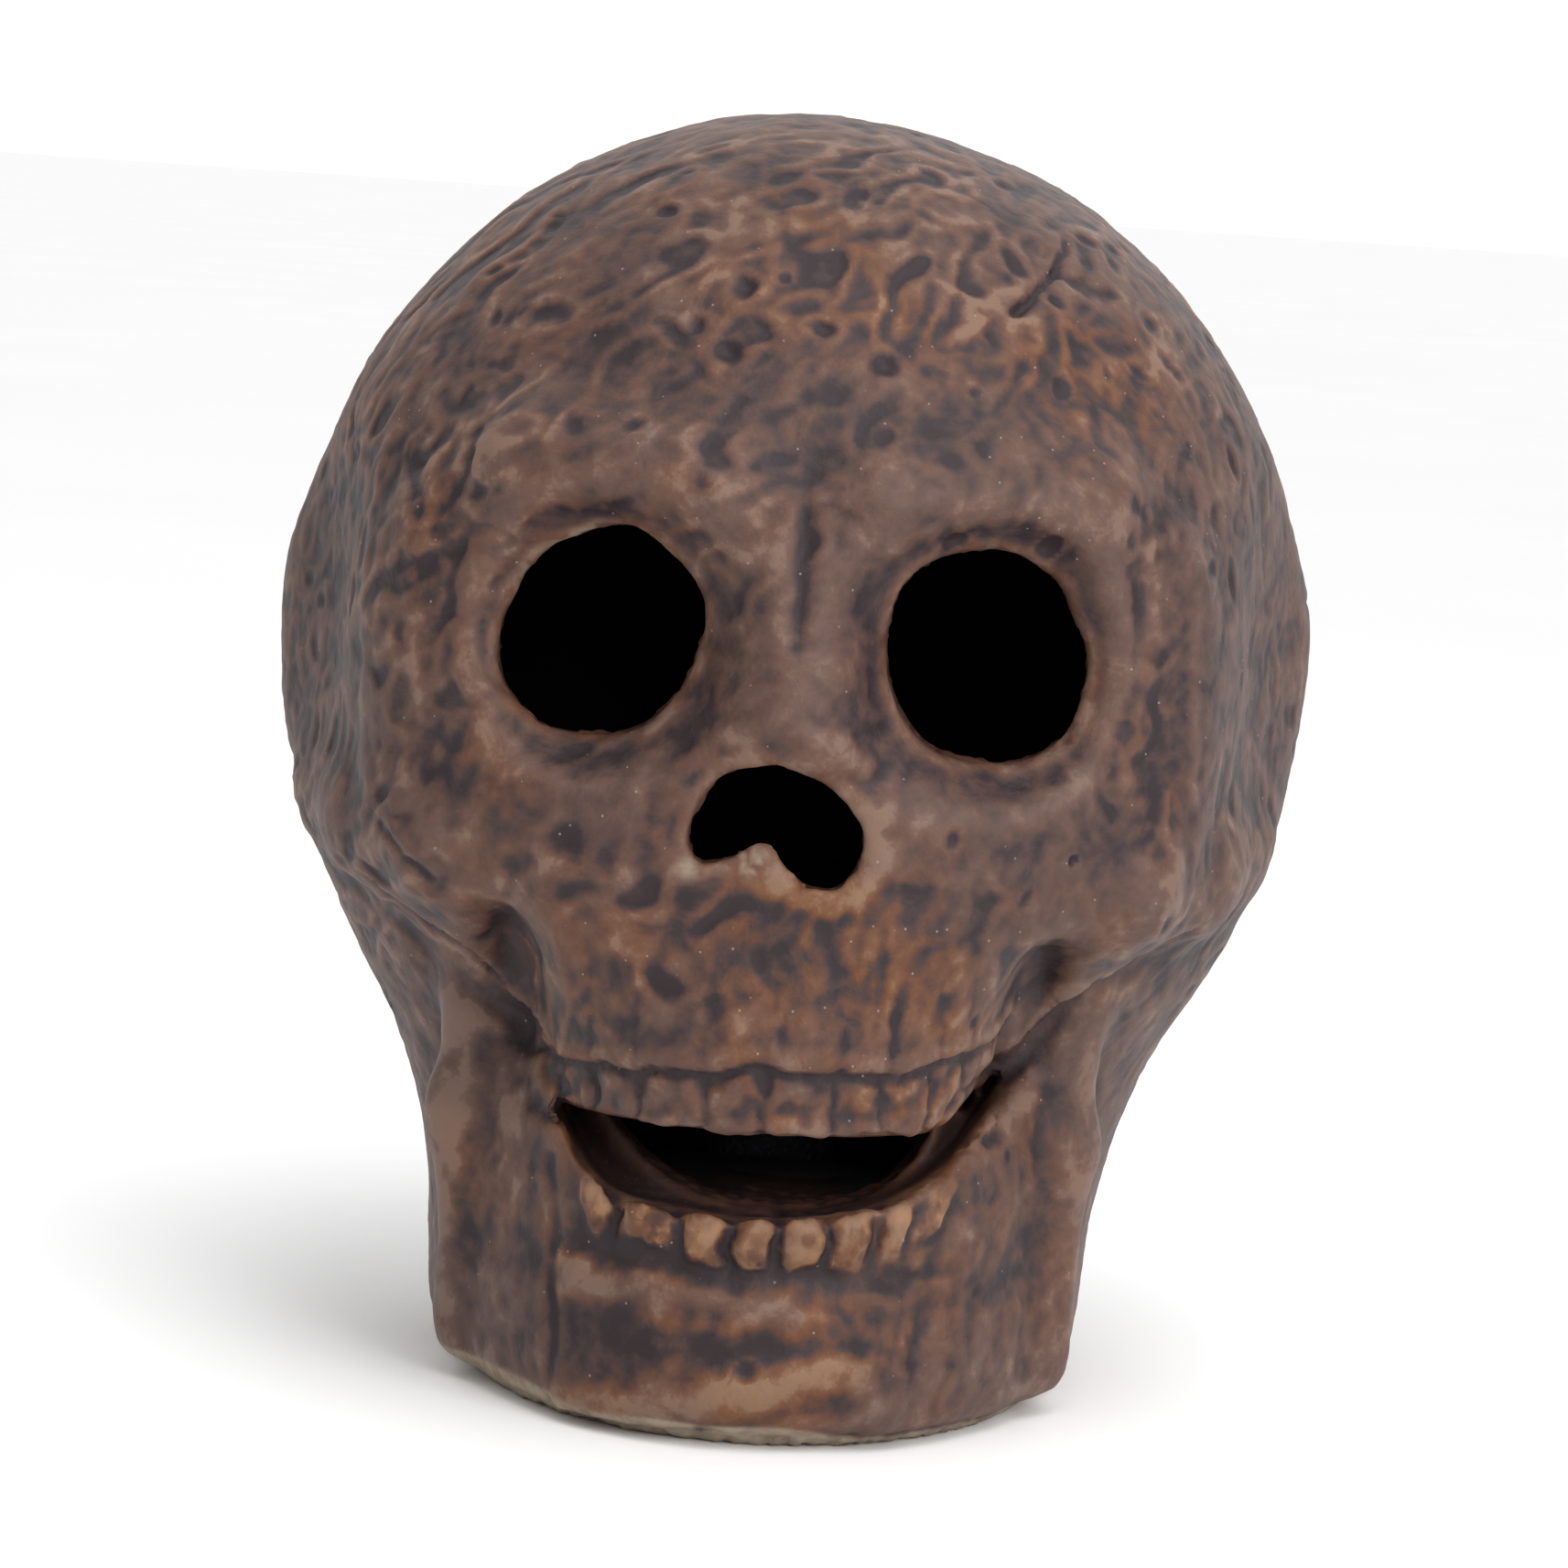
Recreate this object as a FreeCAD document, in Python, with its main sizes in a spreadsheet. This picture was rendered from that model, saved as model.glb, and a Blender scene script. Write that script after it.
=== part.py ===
# Bubbling skull ornament: a hollow slip-cast stoneware skull that stands on its own foot rim
# and lifts straight off a small weighted base carrying the air inlet, hose and air stone.
# Millimetres. +Z up, face towards -Y, +X to the right of someone looking at the face.
# Origin: middle of the overall outline in plan, on the ground plane.
import FreeCAD, Part
import math
import os

V = FreeCAD.Vector
doc = FreeCAD.newDocument("skull_bubbler")
sheet = doc.addObject("Spreadsheet::Sheet", "Dims")

DIMS = [
    # casting
    ("skull_width", 116.0), ("skull_depth", 125.0), ("skull_height", 141.0), ("skull_shift_y", -3.73),
    ("cast_wall", 4.6),
    ("eye_x_left", 20.6), ("eye_x_right", 20.1), ("eye_z", 84.9), ("eye_scale", 0.928),
    ("nose_x", -0.4), ("nose_z", 66.8), ("nose_scale", 0.912),
    ("hole_front", -75.0), ("hole_run", 48.0),
    ("mouth_core_half_x", 29.0), ("mouth_core_half_y", 48.8),
    ("notch_width", 14.0), ("notch_spring", 8.5), ("notch_front", 20.0), ("notch_run", 30.0),
    # base tray: an oval plate with a raised rim, cut flat across the back
    ("tray_half_x", 26.5), ("tray_half_y", 31.0), ("tray_centre_y", -9.0),
    ("tray_bottom", 1.6), ("tray_floor", 2.6), ("tray_height", 11.6), ("tray_wall", 2.2),
    ("tray_rear_y", 19.0), ("tray_rear_wall", 3.0),
    ("pad_radius", 4.2), ("pad_height", 2.4), ("pad_recess", 0.8), ("pad_recess_radius", 4.3),
    ("pad_x", 15.5), ("pad_y_front", -26.0), ("pad_y_rear", 7.0),
    ("ring_outer", 7.6), ("ring_inner", 6.5), ("ring_height", 1.0),
    ("post_radius", 2.6), ("post_x", 17.0), ("post_y_front", -21.5), ("post_y_rear", 3.0), ("post_bore", 1.3),
    ("post_top", 11.75), ("post_bore_bottom", 6.5),
    # ballast and its cover
    ("ballast_gap", 0.35), ("ballast_thick", 7.4), ("ballast_hole", 8.2), ("channel_width", 10.0),
    ("cover_gap", 0.3), ("cover_thick", 1.6), ("cover_hole", 5.2), ("cover_screw_hole", 1.45),
    ("screw_radius", 1.25), ("screw_length", 6.0), ("screw_head_radius", 2.3), ("screw_head", 1.5), ("screw_slot", 0.6),
    # air path
    ("air_z", 7.8), ("air_bore", 1.2),
    ("inlet_pin_radius", 2.5), ("inlet_pin_length", 16.0), ("inlet_tip", 0.8), ("inlet_tip_radius", 1.9),
    ("inlet_flange_radius", 4.6), ("inlet_flange", 2.0), ("inlet_thread_radius", 3.0), ("inlet_thread_spare", 0.5),
    ("inlet_hole_radius", 3.1), ("stub_radius", 2.1), ("inlet_stub_end", 6.4),
    ("seal_section", 0.75), ("seal_radius", 3.85),
    ("nut_radius", 4.1), ("nut_height", 2.6), ("nut_bore", 3.05),
    ("hose_inner", 2.15), ("hose_outer", 3.2), ("hose_start", -1.0), ("hose_length", 13.6),
    ("socket_radius", 4.0), ("socket_top", 19.0), ("socket_bore", 2.2), ("socket_foot_radius", 6.4),
    ("socket_foot", 1.2), ("socket_stub_end", 5.0),
    ("stone_radius", 8.0), ("stone_height", 30.0), ("stone_edge", 1.4),
    ("stone_bore_radius", 2.1), ("stone_bore", 9.0),
    ("nipple_radius", 2.12), ("nipple_length", 8.0), ("collar_radius", 6.0), ("collar_height", 2.4),
    ("stem_radius", 2.05), ("stem_length", 8.0),
]
for row, (name, value) in enumerate(DIMS, start=1):
    sheet.set("A%d" % row, name)
    sheet.set("B%d" % row, repr(value))
    sheet.setAlias("B%d" % row, name)
doc.recompute()


def dim(name):
    return float(getattr(sheet, name))


# ---------------------------------------------------------------------------
# Casting: the outer form is an implicit solid built from a skull vault, a lower
# head, a jaw, an upper face and cheekbones, all blended into one another.
# ---------------------------------------------------------------------------
# half width, front depth and rear depth of the lower head, by height
LOW_W = [(-4, 35.0), (0, 35.4), (6, 36.2), (12, 36.9), (20, 38.2), (28, 40.2), (36, 43.4), (45, 47.8), (53, 51.2),
         (62, 54.4), (72, 56.8), (82, 57.8), (92, 57.6), (104, 54.5), (160, 40)]
LOW_F = [(-4, 30), (10, 34), (28, 35), (45, 36), (53, 38), (62, 43), (72, 50), (82, 55), (92, 57), (104, 55), (160, 40)]
LOW_B = [(-4, 33), (0, 33.5), (6, 34.5), (12, 36.5), (20, 40), (28, 44), (36, 48), (45, 52.5), (53, 56), (62, 59.2),
         (72, 61.5), (82, 62), (92, 61.5), (104, 59), (160, 40)]
# jaw: half width, front face
JAW_A = [(-4, 34.8), (0, 35.4), (6, 36.3), (12, 36.7), (20, 36.4), (28, 36.0), (40, 35.6)]
JAW_Y = [(-4, -53.2), (0, -54.2), (4, -55.2), (8, -55.8), (12, -55.2), (15.5, -54.0), (19, -54.2), (23, -54.8),
         (28, -54.4), (40, -52)]
# upper face: half width, depth in front of y = -12, squareness
FACE_A = [(20, 27.5), (34, 28.3), (40, 29.8), (44, 32), (50, 37), (56, 42.0), (62, 44.6), (70, 45.4), (78, 45.2),
          (86, 44.6), (94, 44.2), (102, 43.5), (112, 41), (125, 34)]
FACE_B = [(20, 44), (34, 45.8), (40, 46.6), (44, 46.6), (50, 46.0), (56, 45.4), (62, 45.2), (70, 44.6), (78, 43.6),
          (86, 42.8), (94, 42.4), (102, 41.6), (112, 37), (125, 24)]
FACE_Q = [(30, 2.15), (50, 2.2), (62, 2.5), (100, 2.45), (120, 2.1)]
# underside of the upper face and top of the lower jaw, by x
FACE_Z = [(-60, 62), (-46, 56.5), (-43, 52.0), (-40, 49.4), (-36.5, 47.0), (-32, 44.2), (-28, 40.9), (-26, 37.8),
          (-24.6, 35.2), (-22.9, 33.3), (-20, 32.4), (-12, 32.1), (0, 32.4), (10, 32.5), (16.9, 33.1), (19.5, 34.8),
          (21.9, 37.2), (25.6, 42.4), (30.3, 46.6), (36, 48.9), (42.3, 51.2), (46, 56.5), (60, 62)]
JAW_TOP = [(-40, 46), (-30, 42), (-24.5, 34.5), (-21.5, 30.5), (-18.5, 27.2), (-15, 25.8), (-8, 25.4), (0, 25.4),
           (10, 25.6), (15, 26.4), (20.3, 29.2), (25.1, 33.6), (30, 41), (40, 46)]
# ragged outlines of the hand-cut holes: radii every 15 degrees
EYE_L = [11.5, 12.5, 12.6, 12.4, 12.4, 12.8, 12.2, 11.6, 11.5, 11.2, 11.0, 11.0, 11.6, 12.2, 12.8, 12.8, 12.8, 12.3,
         11.8, 11.8, 11.6, 11.2, 11.1, 11.2]
EYE_R = [11.8, 11.3, 11.0, 11.8, 11.9, 12.3, 12.4, 12.4, 12.8, 12.9, 12.4, 11.8, 11.5, 11.4, 11.5, 11.7, 12.0, 11.9,
         12.0, 12.5, 12.8, 13.0, 12.7, 12.0]
NOSE = [9.5, 8.5, 7.7, 7.1, 6.8, 6.7, 7.0, 7.3, 7.6, 8.3, 8.9, 9.3, 10.1, 10.7, 9.0, 3.6, 2.9, 3.1, 4.1, 6.0, 8.5,
        9.9, 10.1, 10.0]
MOUTH = [(-20.6, 32.7), (-17.5, 32.7), (-12, 32.7), (-6, 32.7), (0, 32.7), (6, 32.7), (12, 32.7), (17.2, 32.7),
         (15.2, 30.2), (11.6, 27.6), (6.0, 26.2), (-1, 25.75), (-8, 26.2), (-14.4, 27.7), (-18.4, 30.4)]


class Curve:
    """Smooth curve through (t, value) knots."""

    def __init__(self, pts):
        self.t = [float(p[0]) for p in pts]
        self.v = [float(p[1]) for p in pts]
        n = len(pts)
        m = []
        for i in range(n):
            if i == 0:
                m.append((self.v[1] - self.v[0]) / (self.t[1] - self.t[0]))
            elif i == n - 1:
                m.append((self.v[-1] - self.v[-2]) / (self.t[-1] - self.t[-2]))
            else:
                h0, h1 = self.t[i] - self.t[i - 1], self.t[i + 1] - self.t[i]
                d0, d1 = (self.v[i] - self.v[i - 1]) / h0, (self.v[i + 1] - self.v[i]) / h1
                m.append((d0 * h1 + d1 * h0) / (h0 + h1))
        self.m = m

    def __call__(self, t):
        T = self.t
        if t <= T[0]:
            return self.v[0]
        if t >= T[-1]:
            return self.v[-1]
        lo, hi = 0, len(T) - 1
        while hi - lo > 1:
            mid = (lo + hi) // 2
            if T[mid] <= t:
                lo = mid
            else:
                hi = mid
        h = T[hi] - T[lo]
        s = (t - T[lo]) / h
        s2, s3 = s * s, s * s * s
        return ((2 * s3 - 3 * s2 + 1) * self.v[lo] + (s3 - 2 * s2 + s) * h * self.m[lo]
                + (-2 * s3 + 3 * s2) * self.v[hi] + (s3 - s2) * h * self.m[hi])


c_low_w, c_low_f, c_low_b = Curve(LOW_W), Curve(LOW_F), Curve(LOW_B)
c_jaw_a, c_jaw_y = Curve(JAW_A), Curve(JAW_Y)
c_face_a, c_face_b, c_face_q = Curve(FACE_A), Curve(FACE_B), Curve(FACE_Q)
c_face_z, c_jaw_top = Curve(FACE_Z), Curve(JAW_TOP)


def smin(a, b, k):
    h = 0.5 + 0.5 * (b - a) / k
    h = 0.0 if h < 0 else 1.0 if h > 1 else h
    return b + (a - b) * h - k * h * (1 - h)


def smax(a, b, k):
    return -smin(-a, -b, k)


def ellipsoid(x, y, z, c, r):
    a, b, d = (x - c[0]) / r[0], (y - c[1]) / r[1], (z - c[2]) / r[2]
    k0 = math.sqrt(a * a + b * b + d * d)
    k1 = math.sqrt((a / r[0]) ** 2 + (b / r[1]) ** 2 + (d / r[2]) ** 2) + 1e-9
    return k0 * (k0 - 1.0) / k1


def capsule(x, y, z, a, b, ra, rb):
    dx, dy, dz = b[0] - a[0], b[1] - a[1], b[2] - a[2]
    px, py, pz = x - a[0], y - a[1], z - a[2]
    t = (px * dx + py * dy + pz * dz) / (dx * dx + dy * dy + dz * dz)
    t = 0.0 if t < 0 else 1.0 if t > 1 else t
    px, py, pz = px - t * dx, py - t * dy, pz - t * dz
    return math.sqrt(px * px + py * py + pz * pz) - (ra + (rb - ra) * t)


def mouth_core(x, y, z):
    rho = ((abs(x) / dim_core_x) ** 2.0 + (min(y - 3.0, 0.0) / dim_core_y) ** 2.0) ** 0.5
    return max((rho - 1) * dim_core_x, abs(z - 30.0) - 9.0, y + 5.0)


def head(x, y, z):
    """Signed value of the outer form: below zero inside, roughly millimetres."""
    ax = abs(x)
    dy = y - 3.0
    W = c_low_w(z)
    D = c_low_f(z) if dy < 0 else c_low_b(z)
    rho = ((ax / W) ** 2.15 + (abs(dy) / D) ** 2.15) ** (1 / 2.15)
    low = (rho - 1) * min(W, D) * 0.95
    low = smax(low, z - 96.0, 14.0)
    # vault: fuller over the forehead than across the temples
    u, v = ax / 57.9, abs(y - 4.0) / (58.0 if y < 4 else 61.5)
    s = (u ** 2.12 + v ** 2.12) ** (1 / 2.12)
    share = v * v / (u * u + v * v + 1e-9) if y < 4 else 0.0
    e = 1.98 + 0.32 * share
    cran = ((s ** e + (abs(z - 82.0) / 59.0) ** e) ** (1 / e) - 1) * 58.0
    f = smin(low, cran, 5.0)
    f = smax(f, -ellipsoid(ax, y, z, (66.5, -22.0, 84.0), (15.0, 21.0, 26.0)), 12.0)
    # jaw
    A, YF = c_jaw_a(z), c_jaw_y(z)
    jr = ((ax / A) ** 2.1 + (abs(min(dy, 0.0)) / (3.0 - YF)) ** 2.1) ** (1 / 2.1)
    jaw = (jr - 1) * 36.0
    jaw = smax(jaw, z - c_jaw_top(x), 2.2)
    jaw = smax(jaw, y - 6.0, 3.0)
    f = smin(f, jaw, 3.5)
    # upper face
    A, B, q = c_face_a(z), c_face_b(z), c_face_q(z)
    face = (((ax / A) ** q + (max(-(y + 12.0), 0.0) / B) ** q) ** (1 / q) - 1) * min(A, B)
    face = smax(face, (c_face_z(x) - z) * 0.9, 2.4)
    face = smax(face, y - 2.0, 6.0)
    face = smax(face, z - 116.0, 14.0)
    f = smin(f, face, 4.0)
    # cheekbone, outer rim of the orbit, brow
    f = smin(f, capsule(ax, y, z, (36.5, -38.5, 61.5), (43.0, -25.0, 60.5), 6.8, 5.0), 6.0)
    f = smin(f, capsule(ax, y, z, (43.0, -25.0, 60.5), (50.0, -6.0, 62.5), 5.0, 3.5), 6.0)
    f = smin(f, capsule(ax, y, z, (39.0, -34.5, 68.0), (38.0, -36.0, 95.0), 5.0, 4.5), 5.0)
    f = smin(f, capsule(ax, y, z, (9.0, -51.0, 99.0), (29.0, -44.0, 101.0), 4.2, 4.6), 8.0)
    # bowl of the orbit, hollow of the cheek, front edge of the ramus
    f = smax(f, -ellipsoid(ax, y, z, (20.6, -60.5, 85.2), (15.8, 14.2, 15.8)), 4.5)
    f = smax(f, -ellipsoid(ax, y, z, (24.2, -55.6, 85.0), (13.6, 13.2, 14.6)), 2.6)
    f = smax(f, -ellipsoid(ax, y, z, (29.0, -46.5, 43.0), (5.0, 15.0, 12.0)), 4.0)
    f = smin(f, capsule(ax, y, z, (33.0, -27.0, 52.0), (32.6, -25.5, 30.0), 2.6, 3.2), 4.0)
    f = smin(f, capsule(ax, y, z, (32.6, -25.5, 30.0), (31.6, -25.5, 6.0), 3.2, 2.6), 5.0)
    # bridge of the nose
    f = smin(f, capsule(x, y, z, (0, -51.5, 97.0), (0, -54.5, 78.0), 3.2, 4.4), 7.0)
    # body of the face behind both rows of teeth
    return smin(f, mouth_core(x, y, z), 2.0)


def with_recess(x, y, z):
    """Outer form with the mouth sunk into it; the cavity is offset from this."""
    base = head(x, y, z)
    if y > -15 or z < 12 or z > 48:
        return base
    ax = abs(x)
    lift = 9.0 * min(max((ax - 16.5) / 8.0, 0.0), 1.0) ** 1.5
    floor = 25.4 + 0.10 * max(y + 56, 0.0) + lift
    roof = 33.2 + 5.0 * min(max((ax - 17.0) / 8.0, 0.0), 1.0) ** 1.5
    rec = smax(smax(floor - z, z - roof, 1.0), ax - 25.5, 1.5)
    rec = smax(rec, -mouth_core(x, y, z), 1.5)
    rec = smax(rec, y + 22.0, 1.0)
    return smax(base, -rec, 1.4)


dim_core_x, dim_core_y = dim("mouth_core_half_x"), dim("mouth_core_half_y")
SX, SY, SZ = dim("skull_width") / 116.0, dim("skull_depth") / 125.0, dim("skull_height") / 141.0
SHIFT = dim("skull_shift_y")                 # brings the outline's middle over the origin
WALL = dim("cast_wall")
CY = 3.0
# rows of the skin: level rings up to the widest part, then rays fanning up to the crown
LEVELS = [0, 2.5, 6, 10, 14, 18, 21, 23.5, 25.5, 27.5, 30, 32, 34, 36, 38.5, 41, 44, 47, 50, 53, 56, 60, 65, 70, 75,
          80, 85]
FAN = [5.5, 10.5, 15.5, 20.5, 26, 32, 38.5, 46, 54, 62.5, 71, 80]
FAN_Z = 85.0
# ring stations: closer together around the face
STATIONS = []
a = -90.0
for i in range(18):
    STATIONS.append(a)
    a += 4.0
for i in range(9):
    STATIONS.append(a)
    a += 12.0
half = [s + 90.0 for s in STATIONS]          # 0 .. 168 from the face
ring = half + [180.0] + [360.0 - s for s in reversed(half[1:])]


def outer_hit(ox, oy, oz, dx, dy, dz):
    r = 100.0
    for _ in range(160):
        f = head(ox + dx * r, oy + dy * r, oz + dz * r)
        if abs(f) < 0.0004:
            break
        r -= f * 0.75
    return r


def inner_hit(ox, oy, oz, dx, dy, dz):
    r = 8.0
    f = with_recess(ox + dx * r, oy + dy * r, oz + dz * r) + WALL
    prev = r
    while f < 0 and r < 90:
        prev = r
        r += max(0.5, -f * 0.5)
        f = with_recess(ox + dx * r, oy + dy * r, oz + dz * r) + WALL
    lo, hi = prev, r
    for _ in range(12):
        mid = (lo + hi) / 2
        if with_recess(ox + dx * mid, oy + dy * mid, oz + dz * mid) + WALL < 0:
            lo = mid
        else:
            hi = mid
    return (lo + hi) / 2


def skin(hit, start):
    rows = []
    for z in LEVELS:
        row = []
        for a in ring:
            c, s = math.sin(math.radians(a)), -math.cos(math.radians(a))
            r = hit(0.0, CY, float(z), c, s, 0.0)
            row.append(V(c * r * SX, (CY + s * r) * SY + SHIFT, z * SZ))
        rows.append(row)
    rows[0] = [V(p.x, p.y, start) for p in rows[0]]
    for e in FAN:
        row = []
        for a in ring:
            c, s = math.sin(math.radians(a)), -math.cos(math.radians(a))
            ce, se = math.cos(math.radians(e)), math.sin(math.radians(e))
            r = hit(0.0, CY, FAN_Z, c * ce, s * ce, se)
            row.append(V(c * ce * r * SX, (CY + s * ce * r) * SY + SHIFT, (FAN_Z + se * r) * SZ))
        rows.append(row)
    r = hit(0.0, CY, FAN_Z, 0.0, 0.0, 1.0)
    top = V(0, CY * SY + SHIFT, (FAN_Z + r) * SZ)
    rows.append([V(top.x, top.y, top.z)] * len(ring))
    return rows


def skin_solid(rows):
    """Cubic surface closed around the ring, capped by a flat face on its first row."""
    nu, nv = len(rows[0]), len(rows)
    poles = [[rows[j][i] for j in range(nv)] for i in range(nu)]
    surf = Part.BSplineSurface()
    uk = [i / float(nu) for i in range(nu + 1)]
    inner = [i / float(nv - 3) for i in range(nv - 2)]
    vm = [4] + [1] * (nv - 4) + [4]
    surf.buildFromPolesMultsKnots(poles, [1] * (nu + 1), vm, uk, inner, True, False, 3, 3)
    side = surf.toShape()
    rim = sorted(side.Edges, key=lambda e: e.BoundBox.ZMax)
    rim = [e for e in rim if e.BoundBox.ZLength < 1e-6 and e.Length > 50][0]
    foot = Part.Face(Part.Wire([rim]))
    shell = Part.makeShell([side, foot])
    shell.sewShape()
    solid = Part.makeSolid(Part.Shell(shell.Faces))
    if solid.Volume < 0:
        solid.reverse()
    return solid


def outline_prism(pts, y0, run, through=True):
    """Prism along +Y on a closed smooth outline: through its (x, z) points, or held inside their hull."""
    curve = Part.BSplineCurve()
    if through:
        curve.interpolate([V(p[0], y0, p[1]) for p in pts], PeriodicFlag=True)
    else:
        curve.buildFromPoles([V(p[0], y0, p[1]) for p in pts], True, 3)
    face = Part.Face(Part.Wire([curve.toShape()]))
    return face.extrude(V(0, run, 0))


def radial_outline(cx, cz, radii, scale):
    n = len(radii)
    return [(cx + radii[i] * scale * math.cos(2 * math.pi * i / n), cz + radii[i] * scale * math.sin(2 * math.pi * i / n))
            for i in range(n)]


def feature(name, shape):
    o = doc.addObject("Part::Feature", name)
    o.Shape = shape
    return o


def bind(obj, **exprs):
    for prop, e in exprs.items():
        obj.setExpression(prop.replace("__", "."), e)
    return obj


def solid_of(kind, name, **exprs):
    return bind(doc.addObject(kind, name), **exprs)


def cut(name, base, tool):
    o = doc.addObject("Part::Cut", name)
    o.Base, o.Tool = base, tool
    return o


def fuse(name, *items):
    o = doc.addObject("Part::MultiFuse", name)
    o.Shapes = list(items)
    return o


def place(obj, pos, axis=None, angle=0.0):
    rot = FreeCAD.Rotation(V(*axis), angle) if axis else FreeCAD.Rotation()
    obj.Placement = FreeCAD.Placement(V(*pos), rot)
    return obj


casting = feature("casting_outer", skin_solid(skin(outer_hit, 0.0)))
cavity = feature("casting_cavity", skin_solid(skin(inner_hit, -6.0)))
wall_body = cut("casting_wall", casting, cavity)

y0, run = dim("hole_front"), dim("hole_run")
eye_l = feature("eye_hole_left", outline_prism(
    radial_outline(-dim("eye_x_left"), dim("eye_z"), EYE_L, dim("eye_scale")), y0, run))
eye_r = feature("eye_hole_right", outline_prism(
    radial_outline(dim("eye_x_right"), dim("eye_z"), EYE_R, dim("eye_scale")), y0, run))
nose = feature("nose_hole", outline_prism(
    radial_outline(dim("nose_x"), dim("nose_z"), NOSE, dim("nose_scale")), y0, run))
mouth = feature("mouth_hole", outline_prism(MOUTH, y0, run, False))
# mouth recess: sunk a fixed depth behind the tooth line, its back parallel to the jaw
recess_pts = [(-26.6, 36.8), (-22.5, 34.2), (-16, 33.3), (-8, 33.2), (0, 33.2), (8, 33.2), (16, 33.4), (21.0, 35.0),
              (26.6, 39.6), (26.0, 34.6), (21.2, 29.4), (15.6, 26.4), (10, 25.5), (0, 25.2), (-8, 25.2), (-15, 25.6),
              (-19.5, 27.2), (-22.8, 30.4)]
recess_block = feature("mouth_recess_block", outline_prism(recess_pts, y0, 52.0, False))
core_ring = solid_of("Part::Ellipse", "mouth_core_ring", MajorRadius="Dims.mouth_core_half_y",
                     MinorRadius="Dims.mouth_core_half_x")
core_ring.Placement = FreeCAD.Placement(V(0, 0, 10.0), FreeCAD.Rotation(V(0, 0, 1), 90))
core_ring.setExpression("Placement.Base.y", "3 + Dims.skull_shift_y")
core = doc.addObject("Part::Extrusion", "mouth_core")
core.Base = core_ring
core.DirMode = "Custom"
core.Dir = V(0, 0, 1)
core.LengthFwd = 40.0
core.Solid = True
recess = cut("mouth_recess", recess_block, core)

notch_box = solid_of("Part::Box", "notch_box", Length="Dims.notch_width", Width="Dims.notch_run",
                     Height="Dims.notch_spring + 5")
bind(notch_box, Placement__Base__x="-Dims.notch_width / 2", Placement__Base__y="Dims.notch_front",
     Placement__Base__z="-5")
notch_arch = solid_of("Part::Cylinder", "notch_arch", Radius="Dims.notch_width / 2", Height="Dims.notch_run")
place(notch_arch, (0, 0, 0), (1, 0, 0), -90)
bind(notch_arch, Placement__Base__y="Dims.notch_front", Placement__Base__z="Dims.notch_spring")
notch = fuse("notch", notch_box, notch_arch)

cutters = fuse("casting_cutters", eye_l, eye_r, nose, mouth)
step = cut("casting_pierced", wall_body, cutters)
step = cut("casting_mouth", step, recess)
skull = cut("skull_shell_cut", step, notch)
skull.Label = "skull_shell"


# ---------------------------------------------------------------------------
# Base unit
# ---------------------------------------------------------------------------
def cyl_z(name, r, z, h, x="0", y="0"):
    o = solid_of("Part::Cylinder", name, Radius=r, Height=h)
    return bind(o, Placement__Base__x=x, Placement__Base__y=y, Placement__Base__z=z)


def cyl_y(name, r, y, h, x="0", z="Dims.air_z"):
    """Cylinder running towards +Y from y."""
    o = solid_of("Part::Cylinder", name, Radius=r, Height=h)
    place(o, (0, 0, 0), (1, 0, 0), -90)
    return bind(o, Placement__Base__x=x, Placement__Base__y=y, Placement__Base__z=z)


def oval(name, half_x, half_y, rear, z, h):
    """Upright oval plate, cut flat at y = rear."""
    ring = solid_of("Part::Ellipse", name + "_ring", MajorRadius=half_y, MinorRadius=half_x)
    place(ring, (0, 0, 0), (0, 0, 1), 90)
    bind(ring, Placement__Base__y="Dims.tray_centre_y", Placement__Base__z=z)
    o = doc.addObject("Part::Extrusion", name + "_oval")
    o.Base, o.DirMode, o.Dir, o.Solid = ring, "Custom", V(0, 0, 1), True
    bind(o, LengthFwd=h)
    box = solid_of("Part::Box", name + "_span", Length="4 * Dims.tray_half_x", Width="4 * Dims.tray_half_y", Height=h)
    bind(box, Placement__Base__x="-2 * Dims.tray_half_x", Placement__Base__y="(" + rear + ") - 4 * Dims.tray_half_y",
         Placement__Base__z=z)
    c = doc.addObject("Part::Common", name)
    c.Base, c.Tool = o, box
    return c


def four(prefix, make, front="Dims.post_y_front", rear="Dims.post_y_rear", side="Dims.post_x"):
    out = []
    for i, (sx, y) in enumerate((("-", front), ("", front), ("-", rear), ("", rear))):
        out.append(make("%s_%d" % (prefix, i + 1), sx + side, y))
    return out


FLOOR_TOP = "Dims.tray_bottom + Dims.tray_floor"
outer = oval("tray_outer", "Dims.tray_half_x", "Dims.tray_half_y", "Dims.tray_rear_y", "Dims.tray_bottom",
             "Dims.tray_height")
inner = oval("tray_inner", "Dims.tray_half_x - Dims.tray_wall", "Dims.tray_half_y - Dims.tray_wall",
             "Dims.tray_rear_y - Dims.tray_rear_wall", FLOOR_TOP, "Dims.tray_height")
dish = cut("tray_dish", outer, inner)
posts = four("post", lambda n, x, y: cyl_z(n, "Dims.post_radius", "Dims.tray_bottom + 1",
                                           "Dims.post_top - Dims.tray_bottom - 1", x, y))
ring_o = cyl_z("ring_outer_wall", "Dims.ring_outer", "Dims.tray_bottom + 1", "Dims.tray_floor + Dims.ring_height - 1",
               y="Dims.tray_centre_y")
tray_solid = fuse("tray_solid", dish, ring_o, *posts)
ring_i = cyl_z("ring_inner_wall", "Dims.ring_inner", FLOOR_TOP, "Dims.ring_height + 2", y="Dims.tray_centre_y")
bores = four("post_bore_cut", lambda n, x, y: cyl_z(n, "Dims.post_bore", "Dims.post_bore_bottom", "10", x, y))
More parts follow.
